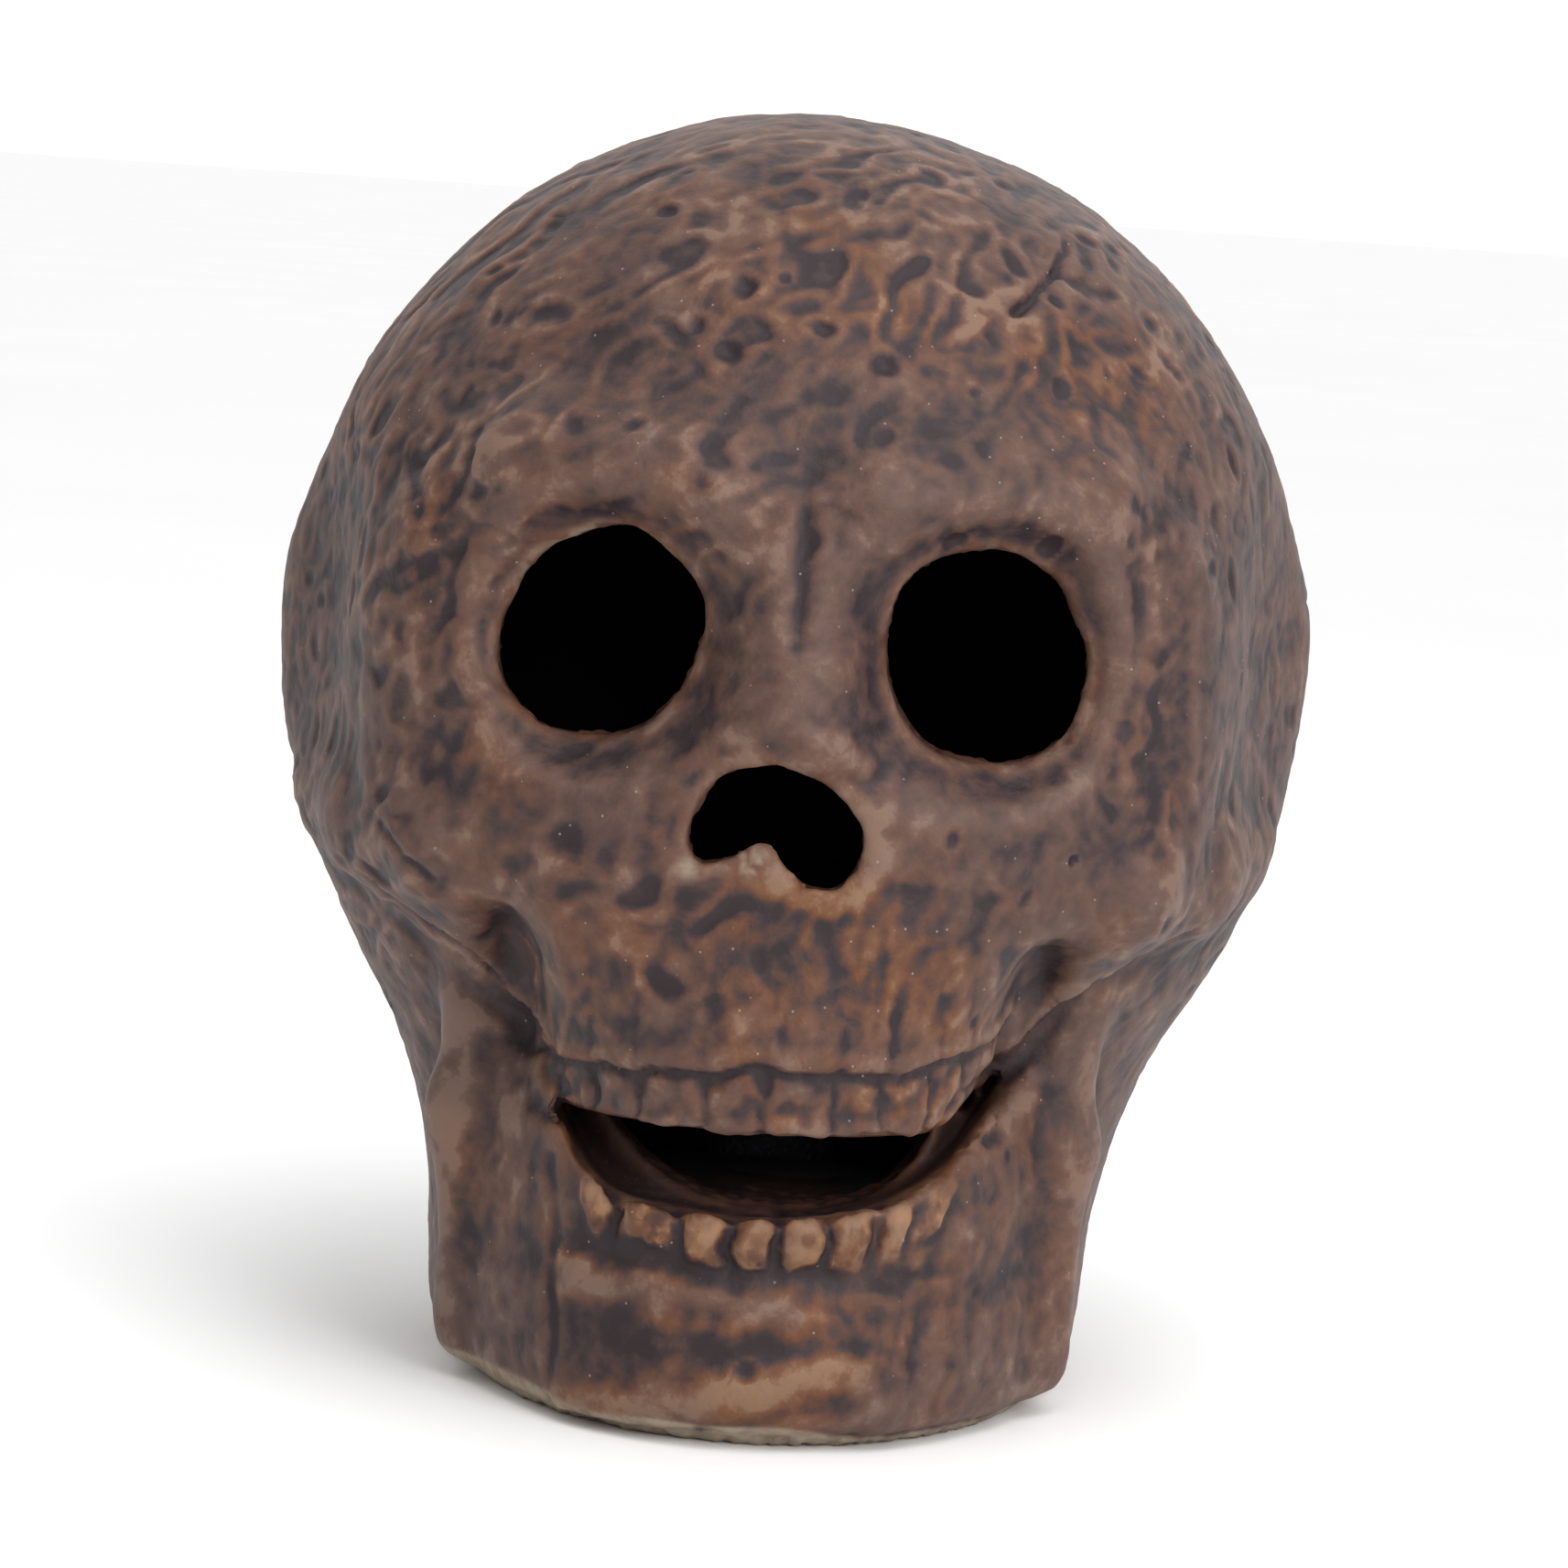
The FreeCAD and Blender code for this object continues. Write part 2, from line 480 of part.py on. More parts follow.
pad_cuts = four("pad_recess_cut", lambda n, x, y: cyl_z(n, "Dims.pad_recess_radius", "Dims.tray_bottom - 2",
                                                        "Dims.pad_recess + 2", x, y),
                "Dims.pad_y_front", "Dims.pad_y_rear", "Dims.pad_x")
inlet_hole = cyl_y("inlet_wall_hole", "Dims.inlet_hole_radius", "Dims.tray_rear_y - Dims.tray_rear_wall - 2",
                   "Dims.tray_rear_wall + 4")
tray = cut("base_tray", tray_solid, fuse("tray_cuts", ring_i, inlet_hole, *(bores + pad_cuts)))

pads = doc.addObject("Part::Compound", "foot_pads")
pads.Links = four("pad", lambda n, x, y: cyl_z(n, "Dims.pad_radius", "0", "Dims.pad_height", x, y),
                  "Dims.pad_y_front", "Dims.pad_y_rear", "Dims.pad_x")

# ballast: a slab cut out round the screw posts, the socket and the hose
GAP = "(Dims.tray_wall + Dims.ballast_gap)"
slab = oval("ballast_slab", "Dims.tray_half_x - " + GAP, "Dims.tray_half_y - " + GAP,
            "Dims.tray_rear_y - Dims.tray_rear_wall - Dims.ballast_gap", FLOOR_TOP, "Dims.ballast_thick")
slab_holes = four("ballast_post_hole", lambda n, x, y: cyl_z(n, "Dims.post_radius + 0.4", "Dims.tray_bottom",
                                                             "Dims.tray_height + 5", x, y))
slab_well = cyl_z("ballast_well", "Dims.ballast_hole", "Dims.tray_bottom", "Dims.tray_height + 5",
                  y="Dims.tray_centre_y")
channel = solid_of("Part::Box", "ballast_channel", Length="Dims.channel_width", Width="Dims.tray_half_y + 10",
                   Height="Dims.tray_height + 5")
bind(channel, Placement__Base__x="-Dims.channel_width / 2", Placement__Base__y="Dims.tray_centre_y",
     Placement__Base__z="Dims.tray_bottom")
ballast = cut("ballast_block", slab, fuse("ballast_cuts", slab_well, channel, *slab_holes))

cover_plate = oval("cover_plate", "Dims.tray_half_x - Dims.tray_wall - Dims.cover_gap",
                   "Dims.tray_half_y - Dims.tray_wall - Dims.cover_gap",
                   "Dims.tray_rear_y - Dims.tray_rear_wall - Dims.cover_gap", "Dims.post_top", "Dims.cover_thick")
cover_holes = four("cover_screw_hole_cut", lambda n, x, y: cyl_z(n, "Dims.cover_screw_hole", "Dims.post_top - 1",
                                                                 "Dims.cover_thick + 2", x, y))
cover_eye = cyl_z("cover_eye", "Dims.cover_hole", "Dims.post_top - 1", "Dims.cover_thick + 2",
                  y="Dims.tray_centre_y")
cover = cut("ballast_cover", cover_plate, fuse("cover_cuts", cover_eye, *cover_holes))


def screw(name, x, y):
    top = "Dims.post_top + Dims.cover_thick"
    shank = cyl_z(name + "_shank", "Dims.screw_radius", top + " - Dims.screw_length", "Dims.screw_length", x, y)
    headc = cyl_z(name + "_head", "Dims.screw_head_radius", top, "Dims.screw_head", x, y)
    body = fuse(name + "_body", shank, headc)
    slots = []
    for k, (w, d) in enumerate((("Dims.screw_slot", "Dims.screw_head_radius * 1.3"),
                                ("Dims.screw_head_radius * 1.3", "Dims.screw_slot"))):
        b = solid_of("Part::Box", "%s_slot_%d" % (name, k + 1), Length=w, Width=d, Height="2")
        bind(b, Placement__Base__x="%s - (%s) / 2" % (x, w), Placement__Base__y="%s - (%s) / 2" % (y, d),
             Placement__Base__z=top + " + Dims.screw_head / 2")
        slots.append(b)
    return cut(name, body, fuse(name + "_cross", *slots))


screws = doc.addObject("Part::Compound", "cover_screws")
screws.Links = four("cover_screw", screw)

# ---------------------------------------------------------------------------
# Air path: inlet through the back wall, hose, upright socket, lift-out stone
# ---------------------------------------------------------------------------
FLANGE_Y = "Dims.tray_rear_y + 2 * Dims.seal_section"
NUT_Y = "Dims.tray_rear_y - Dims.tray_rear_wall - Dims.nut_height"
pin = cyl_y("inlet_pin", "Dims.inlet_pin_radius", FLANGE_Y + " + Dims.inlet_flange",
            "Dims.inlet_pin_length - Dims.inlet_tip")
tip = solid_of("Part::Cone", "inlet_tip_cone", Radius1="Dims.inlet_pin_radius", Radius2="Dims.inlet_tip_radius",
               Height="Dims.inlet_tip")
place(tip, (0, 0, 0), (1, 0, 0), -90)
bind(tip, Placement__Base__y=FLANGE_Y + " + Dims.inlet_flange + Dims.inlet_pin_length - Dims.inlet_tip",
     Placement__Base__z="Dims.air_z")
flange = cyl_y("inlet_flange_disc", "Dims.inlet_flange_radius", FLANGE_Y, "Dims.inlet_flange")
thread = cyl_y("inlet_thread", "Dims.inlet_thread_radius", NUT_Y + " - Dims.inlet_thread_spare",
               "Dims.tray_rear_wall + Dims.nut_height + Dims.inlet_thread_spare + 2 * Dims.seal_section")
stub = cyl_y("inlet_stub", "Dims.stub_radius", "Dims.inlet_stub_end",
             NUT_Y + " - Dims.inlet_thread_spare - Dims.inlet_stub_end")
inlet_bore = cyl_y("inlet_bore", "Dims.air_bore", "Dims.inlet_stub_end - 1", "60")
inlet = cut("inlet_connector", fuse("inlet_solid", pin, tip, flange, thread, stub), inlet_bore)

seal = solid_of("Part::Torus", "inlet_seal", Radius1="Dims.seal_radius", Radius2="Dims.seal_section")
place(seal, (0, 0, 0), (1, 0, 0), -90)
bind(seal, Placement__Base__y="Dims.tray_rear_y + Dims.seal_section", Placement__Base__z="Dims.air_z")

nut_body = solid_of("Part::Prism", "nut_body", Circumradius="Dims.nut_radius", Height="Dims.nut_height")
nut_body.Polygon = 6
place(nut_body, (0, 0, 0), (1, 0, 0), -90)
bind(nut_body, Placement__Base__y=NUT_Y, Placement__Base__z="Dims.air_z")
nut = cut("inlet_nut", nut_body, cyl_y("nut_bore_cut", "Dims.nut_bore", NUT_Y + " - 1", "Dims.nut_height + 2"))

hose = cut("air_hose", cyl_y("hose_body", "Dims.hose_outer", "Dims.hose_start", "Dims.hose_length"),
           cyl_y("hose_bore", "Dims.hose_inner", "Dims.hose_start - 1", "Dims.hose_length + 2"))

sock_tube = cyl_z("socket_tube", "Dims.socket_radius", FLOOR_TOP, "Dims.socket_top - (" + FLOOR_TOP + ")",
                  y="Dims.tray_centre_y")
sock_foot = cyl_z("socket_foot_disc", "Dims.socket_foot_radius", FLOOR_TOP, "Dims.socket_foot",
                  y="Dims.tray_centre_y")
sock_stub = cyl_y("socket_stub", "Dims.stub_radius", "Dims.tray_centre_y",
                  "Dims.socket_stub_end - Dims.tray_centre_y")
sock_bore = cyl_z("socket_bore_cut", "Dims.socket_bore", "Dims.air_z - Dims.air_bore - 0.6", "30",
                  y="Dims.tray_centre_y")
sock_side = cyl_y("socket_side_bore", "Dims.air_bore", "Dims.tray_centre_y", "30")
socket = cut("stone_socket", fuse("socket_solid", sock_tube, sock_foot, sock_stub),
             fuse("socket_bores", sock_bore, sock_side))

collar = cyl_z("stem_collar", "Dims.collar_radius", "Dims.socket_top", "Dims.collar_height", y="Dims.tray_centre_y")
nipple = cyl_z("stem_nipple", "Dims.nipple_radius", "Dims.socket_top - Dims.nipple_length", "Dims.nipple_length",
               y="Dims.tray_centre_y")
upper = cyl_z("stem_upper", "Dims.stem_radius", "Dims.socket_top + Dims.collar_height", "Dims.stem_length",
              y="Dims.tray_centre_y")
stem = cut("stone_stem", fuse("stem_solid", collar, nipple, upper),
           cyl_z("stem_bore", "Dims.air_bore", "0", "60", y="Dims.tray_centre_y"))

STONE_Z = "Dims.socket_top + Dims.collar_height"
stone_body = cyl_z("stone_body", "Dims.stone_radius", STONE_Z, "Dims.stone_height", y="Dims.tray_centre_y")
doc.recompute()
stone_round = doc.addObject("Part::Fillet", "stone_round")
stone_round.Base = stone_body
edge_radius = dim("stone_edge")
stone_round.Edges = [(i + 1, edge_radius, edge_radius) for i, e in enumerate(stone_body.Shape.Edges) if e.Closed]
stone = cut("air_stone", stone_round, cyl_z("stone_bore_cut", "Dims.stone_bore_radius", STONE_Z + " - 1",
                                            "Dims.stone_bore + 1", y="Dims.tray_centre_y"))

NODES = {"skull_shell": skull, "base_tray": tray, "foot_pads": pads, "ballast_block": ballast,
         "ballast_cover": cover, "cover_screws": screws, "inlet_connector": inlet, "inlet_seal": seal,
         "inlet_nut": nut, "air_hose": hose, "stone_socket": socket, "stone_stem": stem, "air_stone": stone}
for name, obj in NODES.items():
    obj.Label = name
doc.recompute()

for o in doc.Objects:
    for word in ("Invalid", "Error"):
        if word in o.State:
            raise RuntimeError("%s is %s" % (o.Name, o.State))
    if hasattr(o, "Shape") and (o.Shape.isNull() or not o.Shape.isValid()):
        raise RuntimeError("%s has a bad shape" % o.Name)

os.makedirs("parts", exist_ok=True)
for name, obj in NODES.items():
    if obj.Shape.Volume <= 0:
        raise RuntimeError("%s has no volume" % name)
    obj.Shape.exportStep("parts/%s.step" % name)
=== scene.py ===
import math
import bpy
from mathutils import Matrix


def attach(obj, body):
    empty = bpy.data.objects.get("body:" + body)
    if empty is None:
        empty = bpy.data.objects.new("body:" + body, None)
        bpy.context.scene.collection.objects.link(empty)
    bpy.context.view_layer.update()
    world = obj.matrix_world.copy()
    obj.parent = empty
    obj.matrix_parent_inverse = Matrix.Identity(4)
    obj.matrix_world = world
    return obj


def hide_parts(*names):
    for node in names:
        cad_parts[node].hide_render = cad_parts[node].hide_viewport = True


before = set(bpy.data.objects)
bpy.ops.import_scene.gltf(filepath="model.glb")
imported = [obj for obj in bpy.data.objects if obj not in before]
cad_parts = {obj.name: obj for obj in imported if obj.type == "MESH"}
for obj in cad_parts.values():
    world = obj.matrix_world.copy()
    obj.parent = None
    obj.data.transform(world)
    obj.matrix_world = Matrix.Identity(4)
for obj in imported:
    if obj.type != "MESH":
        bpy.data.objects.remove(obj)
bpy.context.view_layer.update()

from concurrent.futures import ThreadPoolExecutor

import bpy
import numpy as np
import openvdb
from mathutils import Vector, Quaternion, kdtree

STEP = 0.55            # mm, sculpting grid
SHIFT_Y = -3.73                          # mm, sculpt frame to row frame
WALL = 4.6
F = np.float32


# ---------------------------------------------------------------------------
# Sculpting tools (millimetres)
# ---------------------------------------------------------------------------
def smin(a, b, k):
    h = np.clip(0.5 + 0.5 * (b - a) / k, 0.0, 1.0)
    return b + (a - b) * h - k * h * (1.0 - h)


def smax(a, b, k):
    return -smin(-a, -b, k)


def step(a, b, x):
    t = np.clip((x - a) / (b - a), 0.0, 1.0)
    return t * t * (3 - 2 * t)


def curve(t, pts):
    tx = np.array([p[0] for p in pts], float)
    ty = np.array([p[1] for p in pts], float)
    m = np.gradient(ty, tx)
    t = np.clip(np.asarray(t, float), tx[0], tx[-1])
    i = np.clip(np.searchsorted(tx, t) - 1, 0, len(tx) - 2)
    h = tx[i + 1] - tx[i]
    s = (t - tx[i]) / h
    out = ((2 * s**3 - 3 * s**2 + 1) * ty[i] + (s**3 - 2 * s**2 + s) * h * m[i]
           + (-2 * s**3 + 3 * s**2) * ty[i + 1] + (s**3 - s**2) * h * m[i + 1])
    return out.astype(F)


def ell(x, y, z, c, r):
    a, b, d = (x - c[0]) / r[0], (y - c[1]) / r[1], (z - c[2]) / r[2]
    k0 = np.sqrt(a * a + b * b + d * d)
    k1 = np.sqrt((a / r[0])**2 + (b / r[1])**2 + (d / r[2])**2) + 1e-9
    return k0 * (k0 - 1.0) / k1


def cap(x, y, z, a, b, ra, rb):
    d = [b[i] - a[i] for i in range(3)]
    t = np.clip(((x - a[0]) * d[0] + (y - a[1]) * d[1] + (z - a[2]) * d[2]) / sum(v * v for v in d), 0, 1)
    return np.sqrt((x - a[0] - t * d[0])**2 + (y - a[1] - t * d[1])**2 + (z - a[2] - t * d[2])**2) - (ra + (rb - ra) * t)


def polar(x, z, c, radii, s):
    dx, dz = x - c[0], z - c[1]
    r = np.sqrt(dx * dx + dz * dz)
    n = len(radii)
    a = (np.arctan2(dz, dx) / (2 * np.pi)) % 1.0 * n
    i = np.floor(a).astype(int) % n
    t = a - np.floor(a)
    R = np.array(radii, float) * s
    p0, p1, p2, p3 = R[(i - 1) % n], R[i], R[(i + 1) % n], R[(i + 2) % n]
    return r - (p1 + 0.5 * t * (p2 - p0 + t * (2 * p0 - 5 * p1 + 4 * p2 - p3 + t * (3 * (p1 - p2) + p3 - p0))))


def poly(x, z, pts):
    P = np.array(pts, float)
    d = inside = None
    for i in range(len(P)):
        a, b = P[i - 1], P[i]
        e = b - a
        wx, wz = x - a[0], z - a[1]
        t = np.clip((wx * e[0] + wz * e[1]) / (e @ e), 0, 1)
        q = (wx - e[0] * t)**2 + (wz - e[1] * t)**2
        d = q if d is None else np.minimum(d, q)
        c = ((a[1] <= z) & (b[1] > z)) | ((a[1] > z) & (b[1] <= z))
        k = c & (x < a[0] + (z - a[1]) * (e[0] / e[1] if abs(e[1]) > 1e-9 else 0.0))
        inside = k if inside is None else inside ^ k
    d = np.sqrt(d)
    return np.where(inside, -d, d)


def line_dist(x, z, pts):
    """Distance to a polyline in the x, z plane, and how far along it (0 to 1)."""
    P = np.array(pts, float)
    L = np.linalg.norm(np.diff(P, axis=0), axis=1)
    tot, run = L.sum(), 0.0
    best = np.full(np.shape(x), 1e9)
    along = np.zeros(np.shape(x))
    for i in range(len(P) - 1):
        e = P[i + 1] - P[i]
        t = np.clip(((x - P[i][0]) * e[0] + (z - P[i][1]) * e[1]) / (e @ e), 0, 1)
        d = np.hypot(x - P[i][0] - t * e[0], z - P[i][1] - t * e[1])
        m = d < best
        best = np.where(m, d, best)
        along = np.where(m, (run + t * L[i]) / tot, along)
        run += L[i]
    return best, along


_rng = np.random.RandomState(7)
_perm = _rng.permutation(256)
_perm = np.concatenate([_perm, _perm])
_g = _rng.normal(size=(256, 3))
_g = (_g / np.linalg.norm(_g, axis=1, keepdims=True)).astype(F)


def noise(p, scale, seed=0):
    """Gradient noise, about -1 to 1. scale is in mm per cell."""
    q = p / scale + seed * 17.13
    i = np.floor(q).astype(np.int64)
    f = (q - i).astype(F)
    u = f * f * f * (f * (f * 6 - 15) + 10)
    i &= 255
    out = 0.0
    for dx in (0, 1):
        wx = u[:, 0] if dx else 1 - u[:, 0]
        a = _perm[(i[:, 0] + dx) & 255]
        for dy in (0, 1):
            wy = u[:, 1] if dy else 1 - u[:, 1]
            b = _perm[(a + i[:, 1] + dy) & 255]
            for dz in (0, 1):
                wz = u[:, 2] if dz else 1 - u[:, 2]
                g = _g[_perm[(b + i[:, 2] + dz) & 255]]
                out = out + wx * wy * wz * (g[:, 0] * (f[:, 0] - dx) + g[:, 1] * (f[:, 1] - dy) + g[:, 2] * (f[:, 2] - dz))
    return out * 1.7


def fbm(p, scale, octaves, seed=0, gain=0.5):
    out, amp = 0.0, 1.0
    for k in range(octaves):
        out = out + amp * noise(p, scale / 2**k, seed + k)
        amp *= gain
    return out


# ---------------------------------------------------------------------------
# The casting: the same blended form as the CAD, with its openings
# ---------------------------------------------------------------------------
LOW_W = [(-4, 35.0), (0, 35.4), (6, 36.2), (12, 36.9), (20, 38.2), (28, 40.2), (36, 43.4), (45, 47.8), (53, 51.2),
         (62, 54.4), (72, 56.8), (82, 57.8), (92, 57.6), (104, 54.5), (160, 40)]
LOW_F = [(-4, 30), (10, 34), (28, 35), (45, 36), (53, 38), (62, 43), (72, 50), (82, 55), (92, 57), (104, 55), (160, 40)]
LOW_B = [(-4, 33), (0, 33.5), (6, 34.5), (12, 36.5), (20, 40), (28, 44), (36, 48), (45, 52.5), (53, 56), (62, 59.2),
         (72, 61.5), (82, 62), (92, 61.5), (104, 59), (160, 40)]
JAW_A = [(-4, 34.8), (0, 35.4), (6, 36.3), (12, 36.7), (20, 36.4), (28, 36.0), (40, 35.6)]
JAW_Y = [(-4, -53.2), (0, -54.2), (4, -55.2), (8, -55.8), (12, -55.2), (15.5, -54.0), (19, -54.2), (23, -54.8),
         (28, -54.4), (40, -52)]
FACE_A = [(20, 27.5), (34, 28.3), (40, 29.8), (44, 32), (50, 37), (56, 42.0), (62, 44.6), (70, 45.4), (78, 45.2),
          (86, 44.6), (94, 44.2), (102, 43.5), (112, 41), (125, 34)]
FACE_B = [(20, 44), (34, 45.8), (40, 46.6), (44, 46.6), (50, 46.0), (56, 45.4), (62, 45.2), (70, 44.6), (78, 43.6),
          (86, 42.8), (94, 42.4), (102, 41.6), (112, 37), (125, 24)]
FACE_Q = [(30, 2.15), (50, 2.2), (62, 2.5), (100, 2.45), (120, 2.1)]
FACE_Z = [(-60, 62), (-46, 56.5), (-43, 52.0), (-40, 49.4), (-36.5, 47.0), (-32, 44.2), (-28, 40.9), (-26, 37.8),
          (-24.6, 35.2), (-22.9, 33.3), (-20, 32.4), (-12, 32.1), (0, 32.4), (10, 32.5), (16.9, 33.1), (19.5, 34.8),
          (21.9, 37.2), (25.6, 42.4), (30.3, 46.6), (36, 48.9), (42.3, 51.2), (46, 56.5), (60, 62)]
JAW_TOP = [(-40, 46), (-30, 42), (-24.5, 36.6), (-23, 34.0), (-21.5, 31.4), (-18.5, 28.0), (-16, 26.2), (-12, 25.8),
           (-8, 25.5), (0, 25.4), (8, 25.8), (11, 26.5), (14.4, 27.4), (17, 28.6), (20.3, 31.0), (22.6, 33.8),
           (25.1, 36.0), (30, 42), (40, 46)]
LEDGE = [(-27, 42), (-24.5, 37.4), (-23, 34.6), (-21.5, 31.9), (-20.2, 30.2), (-17.9, 27.6), (-16.2, 26.3), (-14.5, 25.8),
         (-8, 25.5), (2.4, 25.4), (7.7, 25.8), (10.8, 26.5), (14.4, 27.5), (17, 28.8), (19.6, 30.8), (21.3, 32.6),
         (22.6, 34.4), (25, 38.0), (27, 42)]
EYE_L = [11.5, 12.5, 12.6, 12.4, 12.4, 12.8, 12.2, 11.6, 11.5, 11.2, 11.0, 11.0, 11.6, 12.2, 12.8, 12.8, 12.8, 12.3,
         11.8, 11.8, 11.6, 11.2, 11.1, 11.2]
EYE_R = [11.8, 11.3, 11.0, 11.8, 11.9, 12.3, 12.4, 12.4, 12.8, 12.9, 12.4, 11.8, 11.5, 11.4, 11.5, 11.7, 12.0, 11.9,
         12.0, 12.5, 12.8, 13.0, 12.7, 12.0]
NOSE = [9.5, 8.5, 7.7, 7.1, 6.8, 6.7, 7.0, 7.3, 7.6, 8.3, 8.9, 9.3, 10.1, 10.7, 10.2, 4.2, 2.9, 3.1, 4.1, 6.0, 8.5,
        9.9, 10.1, 10.0]
MOUTH = [(-18.3, 33.2), (-8, 33.0), (0, 33.0), (8, 33.0), (18.6, 33.4), (17.6, 30.9), (16.4, 29.0), (14.4, 27.3),
         (13.0, 26.3), (10.2, 25.2), (6.0, 24.5), (2.2, 24.4), (-2.6, 24.7), (-6.4, 25.3), (-9.9, 26.5), (-12.9, 28.2),
         (-15.7, 30.5)]


def mouth_core(x, y, z):
    rho = ((np.abs(x) / 29.0)**2 + (np.minimum(y - 3.0, 0.0) / 48.8)**2)**0.5
    return np.maximum(np.maximum((rho - 1) * 29.0, np.abs(z - 30.0) - 9.0), y + 5.0)


def head(x, y, z):
    ax = np.abs(x)
    W, Fr, B = curve(z, LOW_W), curve(z, LOW_F), curve(z, LOW_B)
    dy = y - 3.0
    D = np.where(dy < 0, Fr, B)
    rho = ((ax / W)**2.15 + (np.abs(dy) / D)**2.15)**(1 / 2.15)
    low = (rho - 1) * np.minimum(W, D) * 0.95
    low = smax(low, z - 96.0, 14.0)
    u, v = ax / 57.9, np.abs(y - 4.0) / np.where(y < 4, 58.0, 61.5)
    s = (u**2.12 + v**2.12)**(1 / 2.12)
    share = np.where(y < 4, v * v / (u * u + v * v + 1e-9), 0.0)
    e = 1.98 + 0.32 * share
    cran = ((s**e + (np.abs(z - 82.0) / 59.0)**e)**(1 / e) - 1) * 58.0
    f = smin(low, cran, 5.0)
    f = smax(f, -ell(ax, y, z, (66.5, -22.0, 84.0), (15.0, 21.0, 26.0)), 12.0)
    A, YF = curve(z, JAW_A), curve(z, JAW_Y)
    jr = ((ax / A)**2.1 + (np.abs(np.minimum(dy, 0)) / (3.0 - YF))**2.1)**(1 / 2.1)
    jaw = (jr - 1) * 36.0
    jaw = smax(jaw, z - curve(x, JAW_TOP), 2.2)
    jaw = smax(jaw, y - 6.0, 3.0)
    f = smin(f, jaw, 3.5)
    A, Bf, q = curve(z, FACE_A), curve(z, FACE_B), curve(z, FACE_Q)
    face = (((ax / A)**q + (np.maximum(-(y + 12.0), 0) / Bf)**q)**(1 / q) - 1) * np.minimum(A, Bf)
    face = smax(face, (curve(x, FACE_Z) - z) * 0.9, 2.4)
    face = smax(face, y - 2.0, 6.0)
    face = smax(face, z - 116.0, 14.0)
    f = smin(f, face, 4.0)
    f = smin(f, cap(ax, y, z, (36.5, -38.5, 61.5), (43.0, -25.0, 60.5), 6.8, 5.0), 6.0)
    f = smin(f, cap(ax, y, z, (43.0, -25.0, 60.5), (50.0, -6.0, 62.5), 5.0, 3.5), 6.0)
    f = smin(f, cap(ax, y, z, (39.0, -34.5, 68.0), (38.0, -36.0, 95.0), 5.0, 4.5), 5.0)
    f = smin(f, cap(ax, y, z, (9.0, -51.0, 99.0), (29.0, -44.0, 101.0), 4.2, 4.6), 8.0)
    f = smax(f, -ell(ax, y, z, (20.6, -60.5, 85.2), (15.8, 14.2, 15.8)), 4.5)
    f = smax(f, -ell(ax, y, z, (24.2, -55.6, 85.0), (13.6, 13.2, 14.6)), 2.6)
    f = smax(f, -ell(ax, y, z, (29.0, -46.5, 43.0), (5.0, 15.0, 12.0)), 4.0)
    f = smin(f, cap(ax, y, z, (33.0, -27.0, 52.0), (32.6, -25.5, 30.0), 2.6, 3.2), 4.0)
    f = smin(f, cap(ax, y, z, (32.6, -25.5, 30.0), (31.6, -25.5, 6.0), 3.2, 2.6), 5.0)
    f = smin(f, cap(x, y, z, (0, -51.5, 97.0), (0, -54.5, 78.0), 3.2, 4.4), 7.0)
    return smin(f, mouth_core(x, y, z), 2.0)


def recessed(x, y, z):
    base = head(x, y, z)
    ax = np.abs(x)
    floor = curve(x, LEDGE) - 0.10 * np.maximum(y + 56 - 0.024 * x * x, 0)
    roof = 33.2 + np.where(x > 0, 5.0, 0.5) * np.clip((ax - 17.0) / 8.0, 0, 1)**1.5
    rec = smax(smax(floor - z, z - roof, 1.0), ax - 25.5, 1.5)
    rec = smax(rec, -mouth_core(x, y, z), 1.5)
    rec = smax(rec, y + 22.0, 1.0)
    return smax(base, -rec, 1.0)


def holes(x, y, z):
    el = np.maximum(polar(x, z, (-20.6, 84.9), EYE_L, 0.928), y + 20.0)
    er = np.maximum(polar(x, z, (20.1, 84.9), EYE_R, 0.928), y + 20.0)
    no = np.maximum(polar(x, z, (-0.4, 66.8), NOSE, 0.912), y + 20.0)
    mo = np.maximum(np.maximum(poly(x, z, MOUTH) + 0 * y, y + 25.0), -(y + 49.0))
    gap = cap(x, y, z, (22.4, -40.0, 35.4), (21.0, -20.0, 34.6), 1.5, 1.3)
    arch = np.maximum(np.minimum(np.hypot(x, z - 8.5) - 7.0, np.maximum(np.abs(x) - 7.0, z - 8.5)) + 0 * y, 20.0 - y)
    return np.minimum(np.minimum(np.minimum(el, er), np.minimum(no, mo)), np.minimum(gap, arch))


def solid(X, Y, Z):
    x, y, z = X[:, None, None], Y[None, :, None], Z[None, None, :]
    out = recessed(x, y, z)
    g = smax(out, -(out + WALL), 1.0)
    g = smax(g, -holes(x, y, z), 0.6)
    # foot: cut flat, with a wiped bevel
    g = smax(g, out + (2.9 - z) * 0.75, 0.7)
    g = np.maximum(g, -z)
    return g.astype(F)


def surface(h):
    X = np.arange(-62.0, 62.0 + h, h, dtype=F)
    Y = np.arange(-63.0, 70.0 + h, h, dtype=F)
    Z = np.arange(-3 * h, 144.0 + h, h, dtype=F)
    cuts = np.array_split(np.arange(len(Z)), 24)
    with ThreadPoolExecutor(4) as pool:
        V = np.concatenate(list(pool.map(lambda c: solid(X, Y, Z[c]), cuts)), axis=2)
    grid = openvdb.FloatGrid(background=3.0)
    grid.copyFromArray(np.clip(V, -3 * h, 3 * h) / h)
    pts, quads = grid.convertToQuads(isovalue=0.0)
    pts = pts * h + np.array([X[0], Y[0], Z[0]])
    return pts.astype(np.float64), quads.astype(np.int64)


def edges_of(quads):
    e = np.concatenate([quads[:, [0, 1]], quads[:, [1, 2]], quads[:, [2, 3]], quads[:, [3, 0]]])
    return e


